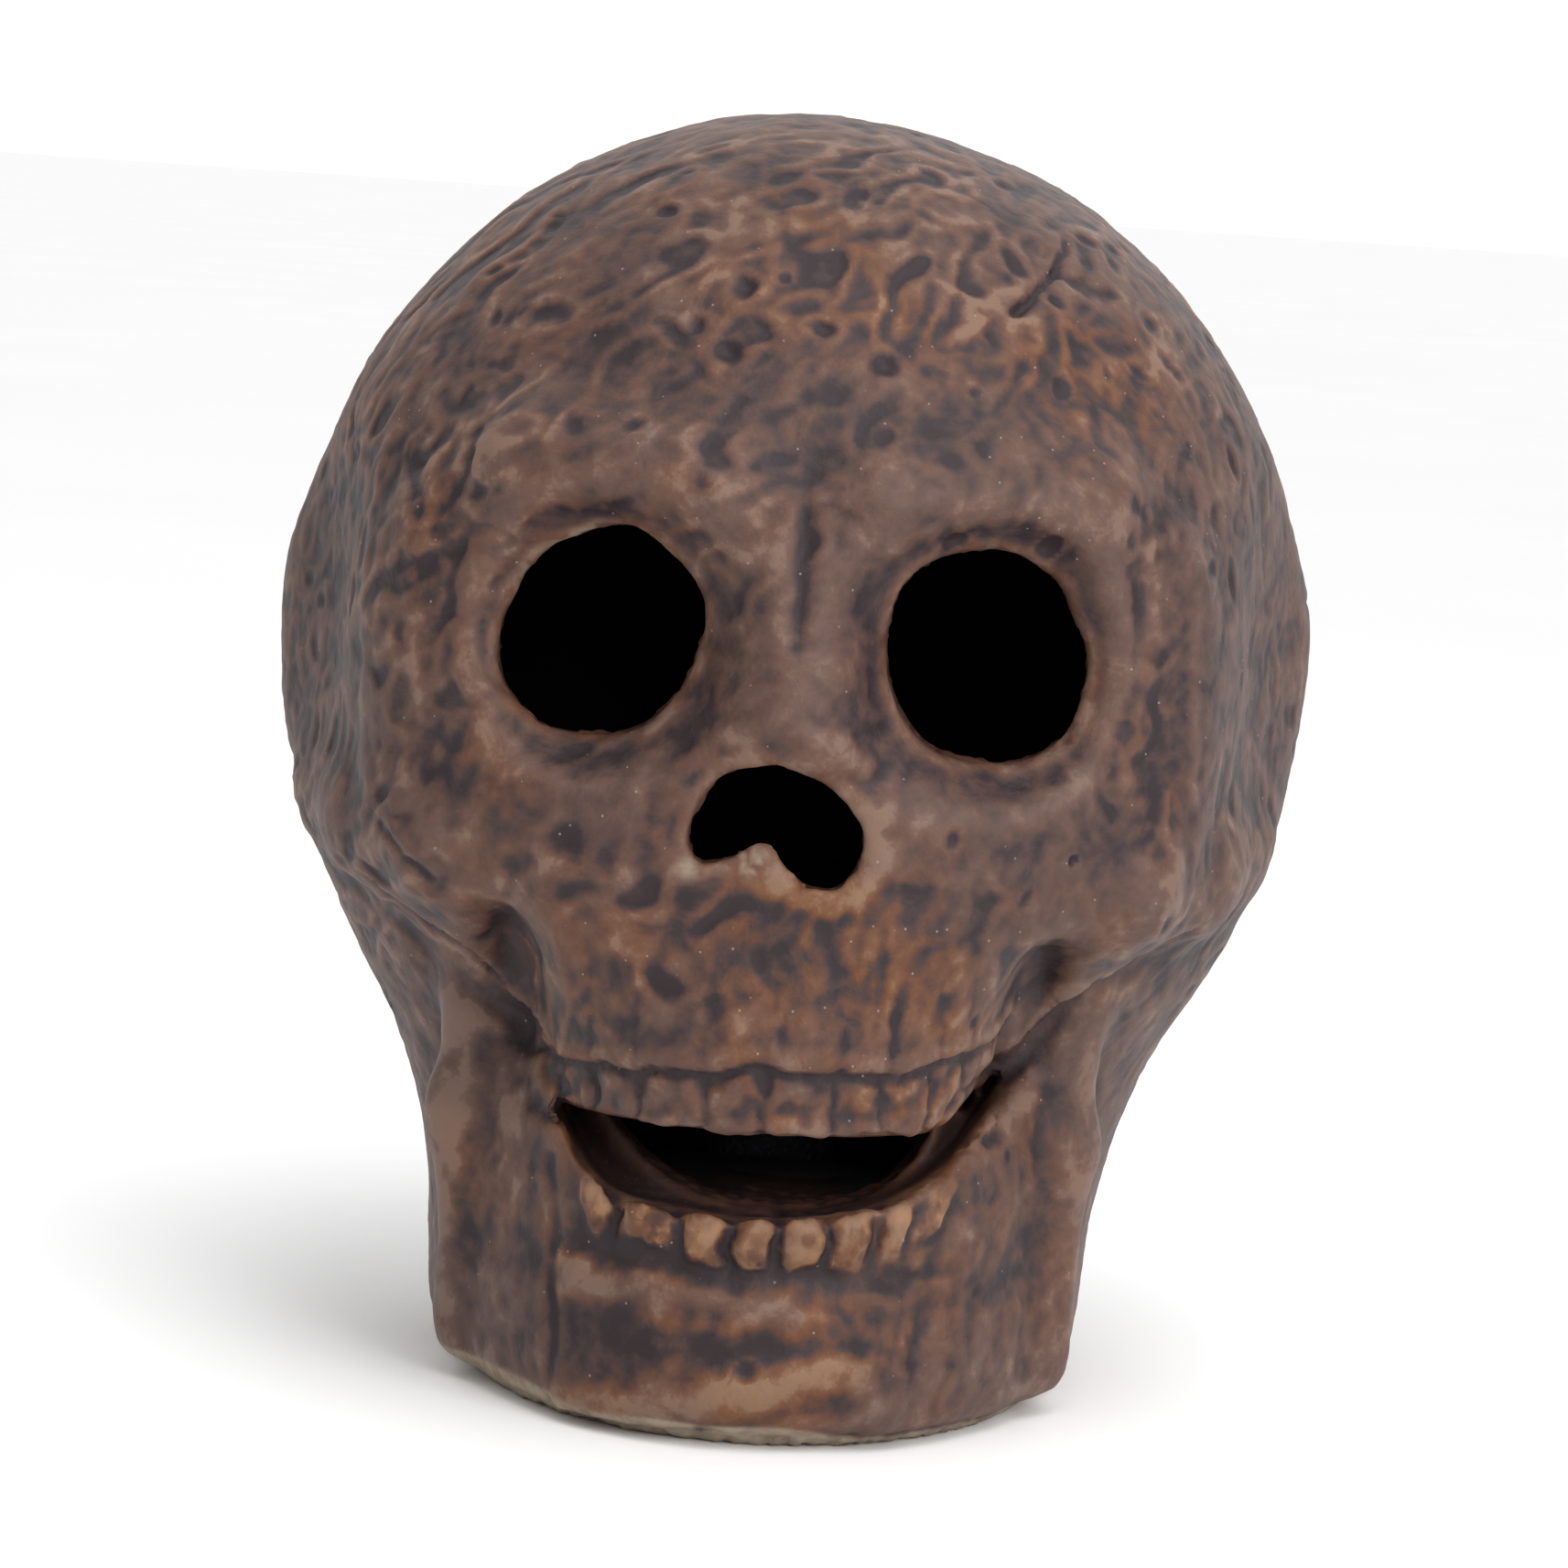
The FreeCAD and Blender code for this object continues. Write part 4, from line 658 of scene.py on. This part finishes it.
class Nodes:
    def __init__(self, name):
        self.m = bpy.data.materials.new(name)
        self.m.use_nodes = True
        self.t = self.m.node_tree
        self.bsdf = self.t.nodes["Principled BSDF"]

    def n(self, kind, **kw):
        node = self.t.nodes.new(kind)
        for k, v in kw.items():
            setattr(node, k, v)
        return node

    def put(self, sock, v):
        if isinstance(v, bpy.types.NodeSocket):
            self.t.links.new(v, sock)
        else:
            sock.default_value = v

    def math(self, op, a, b=None, c=None, clamp=False):
        node = self.n("ShaderNodeMath", operation=op, use_clamp=clamp)
        for s_, v in zip(node.inputs, (a, b, c)):
            if v is not None:
                self.put(s_, v)
        return node.outputs[0]

    def mix(self, f, a, b, mode="MIX"):
        node = self.n("ShaderNodeMix", data_type="RGBA", blend_type=mode)
        self.put(node.inputs["Factor"], f)
        self.put(node.inputs[6], a)
        self.put(node.inputs[7], b)
        return node.outputs[2]

    def coord(self):
        return self.n("ShaderNodeTexCoord").outputs["Object"]

    def noise(self, scale, detail=2.0, rough=0.5, vec=None, distort=0.0):
        node = self.n("ShaderNodeTexNoise")
        node.inputs["Scale"].default_value = scale
        node.inputs["Detail"].default_value = detail
        node.inputs["Roughness"].default_value = rough
        node.inputs["Distortion"].default_value = distort
        if vec is not None:
            self.put(node.inputs["Vector"], vec)
        return node.outputs["Fac"]

    def ramp(self, f, stops):
        node = self.n("ShaderNodeValToRGB")
        cr = node.color_ramp
        while len(cr.elements) < len(stops):
            cr.elements.new(0.5)
        for e_, (pos, col) in zip(cr.elements, stops):
            e_.position = pos
            e_.color = col if len(col) == 4 else (*col, 1)
        self.put(node.inputs[0], f)
        return node.outputs["Color"]

    def span(self, v, a, b, lo=0.0, hi=1.0):
        node = self.n("ShaderNodeMapRange", interpolation_type="SMOOTHSTEP")
        for s_, w in zip(node.inputs, (v, a, b, lo, hi)):
            self.put(s_, w)
        return node.outputs[0]

    def attr(self, name):
        return self.n("ShaderNodeAttribute", attribute_name=name).outputs["Fac"]

    def bump(self, height, strength, distance, normal=None):
        node = self.n("ShaderNodeBump")
        node.inputs["Strength"].default_value = strength
        node.inputs["Distance"].default_value = distance
        self.put(node.inputs["Height"], height)
        if normal is not None:
            self.put(node.inputs["Normal"], normal)
        return node.outputs["Normal"]


def tone(r, g, b):
    """Albedo that reads as this screen colour once the studio's haze is added back."""
    c = lin(r, g, b)
    return tuple(max((v - HAZE) / GAIN, 0.003) for v in c[:3]) + (1.0,)


HAZE, GAIN = 0.026, 1.25


def glaze():
    g = Nodes("breaking_glaze")
    v = g.coord()
    brk, inside, cutf, sunk_, warm_, pool, bare, teeth_, side_ = [g.attr(a) for a in (
        "breaking", "inside", "cutface", "sunk", "warm", "pool", "bare", "teeth", "side")]
    big = g.noise(48, 3, 0.55, v)
    mid = g.noise(170, 4, 0.6, v, 0.5)
    small = g.noise(560, 3, 0.6, v, 0.6)
    grit = g.noise(2600, 2, 0.6, v)
    # thickness: curvature of the modelled skin, broken up by the flow of the glaze
    t = g.math("MULTIPLY_ADD", g.math("SUBTRACT", mid, 0.5), 1.20, brk)
    t = g.math("MULTIPLY_ADD", g.math("SUBTRACT", small, 0.5), 0.38, t)
    t = g.math("MULTIPLY_ADD", g.math("SUBTRACT", big, 0.5), 0.55, t)
    t = g.math("MULTIPLY_ADD", warm_, 0.14, t)
    t = g.math("MULTIPLY_ADD", pool, -0.50, t, clamp=True)
    grain = g.noise(1250, 4, 0.68, v, 0.4)
    t = g.math("MULTIPLY_ADD", g.math("SUBTRACT", grain, 0.5), 0.30, t, clamp=True)
    cool = g.ramp(t, [(0.14, tone(69, 61, 63)), (0.30, tone(80, 69, 69)), (0.46, tone(93, 77, 74)), (0.64, tone(103, 84, 79)),
                      (0.82, tone(112, 92, 86)), (0.97, tone(130, 108, 100))])
    rust = g.ramp(t, [(0.12, tone(66, 57, 58)), (0.30, tone(83, 66, 63)), (0.46, tone(101, 73, 62)), (0.64, tone(119, 82, 63)),
                      (0.82, tone(131, 94, 73)), (0.97, tone(150, 118, 96))])
    zone = g.noise(30, 3, 0.55, v)
    k = g.math("MULTIPLY_ADD", warm_, 0.7, g.span(zone, 0.46, 0.66, 0.10, 0.66), clamp=True)
    k = g.math("MULTIPLY", k, g.span(t, 0.22, 0.55), clamp=True)
    k = g.math("MULTIPLY", k, g.math("MULTIPLY_ADD", side_, -0.45, 1.0))
    col = g.mix(k, cool, rust)
    col = g.mix(g.math("MULTIPLY", teeth_, g.span(t, 0.46, 0.92, 0.0, 0.85)), col, tone(168, 129, 101))
    # scattered tiny pale specks
    speck = g.n("ShaderNodeTexVoronoi")
    speck.inputs["Scale"].default_value = 900
    g.put(speck.inputs["Vector"], v)
    rnd = g.n("ShaderNodeSeparateColor")
    g.put(rnd.inputs[0], speck.outputs["Color"])
    dot = g.math("MULTIPLY", g.span(speck.outputs["Distance"], 0.16, 0.08), g.span(rnd.outputs[0], 0.90, 0.93))
    col = g.mix(g.math("MULTIPLY", dot, 0.55), col, tone(176, 166, 166))
    # knife-cut walls, sunk ledge, and painted shade: the inner walls near-black so the cavity reads dark
    cut_col = g.ramp(g.noise(420, 3, 0.6, v), [(0.3, tone(62, 46, 40)), (0.55, tone(96, 70, 58)), (0.8, tone(142, 114, 94))])
    col = g.mix(g.math("MULTIPLY", cutf, 0.8), col, cut_col)
    col = g.mix(g.math("MULTIPLY", sunk_, 0.55), col, tone(92, 72, 66))
    # painted shade: the inside is coloured near-black in place of the shade inside the hollow casting
    col = g.mix(inside, col, (0.004, 0.0036, 0.0036, 1))
    clay = g.ramp(g.noise(380, 4, 0.65, v), [(0.3, tone(136, 118, 102)), (0.55, tone(172, 156, 138)), (0.8, tone(192, 180, 164))])
    col = g.mix(bare, col, clay)
    g.put(g.bsdf.inputs["Base Color"], col)
    rgh = g.math("MULTIPLY_ADD", grain, 0.22, 0.43)
    rgh = g.math("MULTIPLY_ADD", pool, -0.06, rgh)
    rgh = g.math("MAXIMUM", rgh, g.math("MULTIPLY", bare, 0.85))
    rgh = g.math("MAXIMUM", rgh, g.math("MULTIPLY", inside, 0.9))
    g.put(g.bsdf.inputs["Roughness"], rgh)
    g.bsdf.inputs["Specular IOR Level"].default_value = 0.27
    hgt = g.math("MULTIPLY_ADD", small, 0.6, g.math("MULTIPLY", grit, 0.26))
    hgt = g.math("MULTIPLY_ADD", grain, 0.35, hgt)
    hgt = g.math("MULTIPLY_ADD", mid, 1.0, hgt)
    g.put(g.bsdf.inputs["Normal"], g.bump(hgt, 0.45, 0.00032))
    return g.m


def plastic(name, rgb, rough=0.45, grain=1500, strength=0.12):
    g = Nodes(name)
    v = g.coord()
    n_ = g.noise(grain, 2, 0.5, v)
    wear = g.noise(60, 3, 0.6, v)
    c0 = tuple(c * 0.8 for c in rgb) + (1,)
    c1 = tuple(min(c * 1.25 + 0.004, 1) for c in rgb) + (1,)
    g.put(g.bsdf.inputs["Base Color"], g.mix(g.span(wear, 0.3, 0.7), c0, c1))
    g.put(g.bsdf.inputs["Roughness"], g.math("MULTIPLY_ADD", n_, 0.16, rough - 0.06))
    g.put(g.bsdf.inputs["Normal"], g.bump(n_, strength, 0.0001))
    return g.m


def slate():
    g = Nodes("sawn_slate")
    v = g.coord()
    a, b = g.noise(70, 5, 0.65, v), g.noise(900, 3, 0.6, v)
    col = g.ramp(a, [(0.3, (0.028, 0.03, 0.034)), (0.55, (0.05, 0.053, 0.058)), (0.8, (0.085, 0.088, 0.092))])
    g.put(g.bsdf.inputs["Base Color"], col)
    g.put(g.bsdf.inputs["Roughness"], g.math("MULTIPLY_ADD", b, 0.25, 0.62))
    g.put(g.bsdf.inputs["Normal"], g.bump(g.math("ADD", a, b), 0.4, 0.0002))
    return g.m


def grit_stone():
    g = Nodes("bonded_grit")
    v = g.coord()
    cells = g.n("ShaderNodeTexVoronoi")
    cells.inputs["Scale"].default_value = 1500
    g.put(cells.inputs["Vector"], v)
    sep = g.n("ShaderNodeSeparateColor")
    g.put(sep.inputs[0], cells.outputs["Color"])
    col = g.ramp(sep.outputs[0], [(0.0, (0.006, 0.007, 0.009)), (0.5, (0.012, 0.014, 0.018)), (1.0, (0.030, 0.034, 0.042))])
    g.put(g.bsdf.inputs["Base Color"], col)
    g.bsdf.inputs["Roughness"].default_value = 0.85
    g.put(g.bsdf.inputs["Normal"], g.bump(g.math("SUBTRACT", 1.0, cells.outputs["Distance"]), 0.9, 0.0004))
    return g.m


def steel():
    g = Nodes("screw_steel")
    v = g.coord()
    m_ = g.n("ShaderNodeMapping")
    m_.inputs["Scale"].default_value = (1, 1, 14)
    g.put(m_.inputs["Vector"], v)
    n_ = g.noise(700, 3, 0.6, m_.outputs[0])
    g.put(g.bsdf.inputs["Base Color"], g.ramp(n_, [(0.3, (0.42, 0.42, 0.43)), (0.7, (0.6, 0.6, 0.61))]))
    g.bsdf.inputs["Metallic"].default_value = 1.0
    g.put(g.bsdf.inputs["Roughness"], g.math("MULTIPLY_ADD", n_, 0.25, 0.22))
    g.put(g.bsdf.inputs["Normal"], g.bump(n_, 0.1, 0.0001))
    return g.m


def silicone():
    g = Nodes("hose_silicone")
    v = g.coord()
    n_ = g.noise(300, 3, 0.5, v)
    g.put(g.bsdf.inputs["Base Color"], g.ramp(n_, [(0.3, (0.10, 0.15, 0.14)), (0.7, (0.17, 0.23, 0.215))]))
    g.put(g.bsdf.inputs["Roughness"], g.math("MULTIPLY_ADD", n_, 0.12, 0.28))
    g.bsdf.inputs["Subsurface Weight"].default_value = 0.25
    g.bsdf.inputs["Subsurface Radius"].default_value = (0.002, 0.002, 0.002)
    return g.m


skull.data.materials.clear()
skull.data.materials.append(glaze())
looks = {"base_tray": plastic("tray_black", (0.012, 0.0125, 0.014), 0.5, 1300, 0.25),
         "ballast_cover": plastic("cover_black", (0.02, 0.021, 0.023), 0.55, 1100, 0.3),
         "foot_pads": plastic("pad_rubber", (0.016, 0.016, 0.016), 0.72, 900, 0.25),
         "inlet_seal": plastic("seal_rubber", (0.012, 0.012, 0.012), 0.5, 900, 0.15),
         "inlet_connector": plastic("fitting_plastic", (0.03, 0.031, 0.034), 0.3, 700, 0.08),
         "ballast_block": slate(), "cover_screws": steel(), "air_hose": silicone(), "air_stone": grit_stone()}
for a in ("inlet_nut", "stone_socket", "stone_stem"):
    looks[a] = looks["inlet_connector"]
for node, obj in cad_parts.items():
    if node == "skull_shell":
        continue
    obj.data.materials.clear()
    obj.data.materials.append(looks[node])

# ---------------------------------------------------------------------------
# Floor, light and camera
# ---------------------------------------------------------------------------
scene = bpy.context.scene
scene.view_settings.view_transform = "Standard"
scene.view_settings.look = "None"
SKY_TOP, SKY_FRONT = 0.76, 0.34

fm = bpy.data.meshes.new("floor")
fm.from_pydata([(-60, -60, 0), (60, -60, 0), (60, 60, 0), (-60, 60, 0)], [], [(0, 1, 2, 3)])
floor = bpy.data.objects.new("floor", fm)
scene.collection.objects.link(floor)
fg = Nodes("pale_floor")
fg.put(fg.bsdf.inputs["Base Color"], fg.ramp(fg.noise(3.0, 2, 0.5, fg.coord()),
                                             [(0.3, (0.955, 0.955, 0.955)), (0.7, (0.975, 0.975, 0.975))]))
fg.bsdf.inputs["Roughness"].default_value = 0.9
fm.materials.append(fg.m)

# a softbox sky: bright overhead and behind, dimmer towards the camera
world = bpy.data.worlds.new("studio")
scene.world = world
world.use_nodes = True
wt = world.node_tree
wn = wt.nodes
bg = wn["Background"]
tc = wn.new("ShaderNodeTexCoord")
sep = wn.new("ShaderNodeSeparateXYZ")
wt.links.new(tc.outputs["Generated"], sep.inputs[0])


def sky(sock, a, b, lo, hi):
    m_ = wn.new("ShaderNodeMapRange")
    m_.interpolation_type = "SMOOTHSTEP"
    wt.links.new(sock, m_.inputs[0])
    for k_, v_ in zip((1, 2, 3, 4), (a, b, lo, hi)):
        m_.inputs[k_].default_value = v_
    return m_.outputs[0]


up = sky(sep.outputs["Z"], -0.05, 0.85, 0.0, SKY_TOP)
back = sky(sep.outputs["Y"], 0.35, 0.85, SKY_FRONT, 1.12)
tot = wn.new("ShaderNodeMath")
tot.operation = "ADD"
wt.links.new(up, tot.inputs[0])
wt.links.new(back, tot.inputs[1])
lee = wn.new("ShaderNodeMath")
lee.operation = "MULTIPLY"
wt.links.new(tot.outputs[0], lee.inputs[0])
wt.links.new(sky(sep.outputs["X"], -0.95, 0.45, 0.70, 1.04), lee.inputs[1])
wt.links.new(lee.outputs[0], bg.inputs[1])
bg.inputs[0].default_value = (1, 1, 1, 1)


def area(name, loc, target, size, watts, size_y=None):
    l = bpy.data.lights.new(name, "AREA")
    l.energy = watts
    l.size = size
    if size_y:
        l.shape, l.size_y = "RECTANGLE", size_y
    o = bpy.data.objects.new(name, l)
    scene.collection.objects.link(o)
    o.location = loc
    o.rotation_euler = (Vector(target) - Vector(loc)).to_track_quat("-Z", "Y").to_euler()
    return o


area("top_soft", (0.12, -0.35, 0.75), (0, 0, 0.09), 0.5, 2.1)
area("key_front", (0.50, -0.75, 0.40), (0, 0, 0.08), 0.45, 3.6)

cam = bpy.data.cameras.new("view")
camera = bpy.data.objects.new("view", cam)
scene.collection.objects.link(camera)
scene.camera = camera
e = math.radians(5.5)
dist = 0.650
target = Vector((0, SHIFT_Y * 0.001, 0.070))
fwd = Vector((0, math.cos(e), -math.sin(e)))
camera.location = target - fwd * dist
camera.rotation_mode = "QUATERNION"
camera.rotation_quaternion = fwd.to_track_quat("-Z", "Y") @ Quaternion((0, 0, 1), math.radians(3.8))
cam.sensor_width = 36.0
cam.lens = 36.0 * dist / (1713 / 9600.0)
cam.shift_x, cam.shift_y = -0.00357, -0.02612
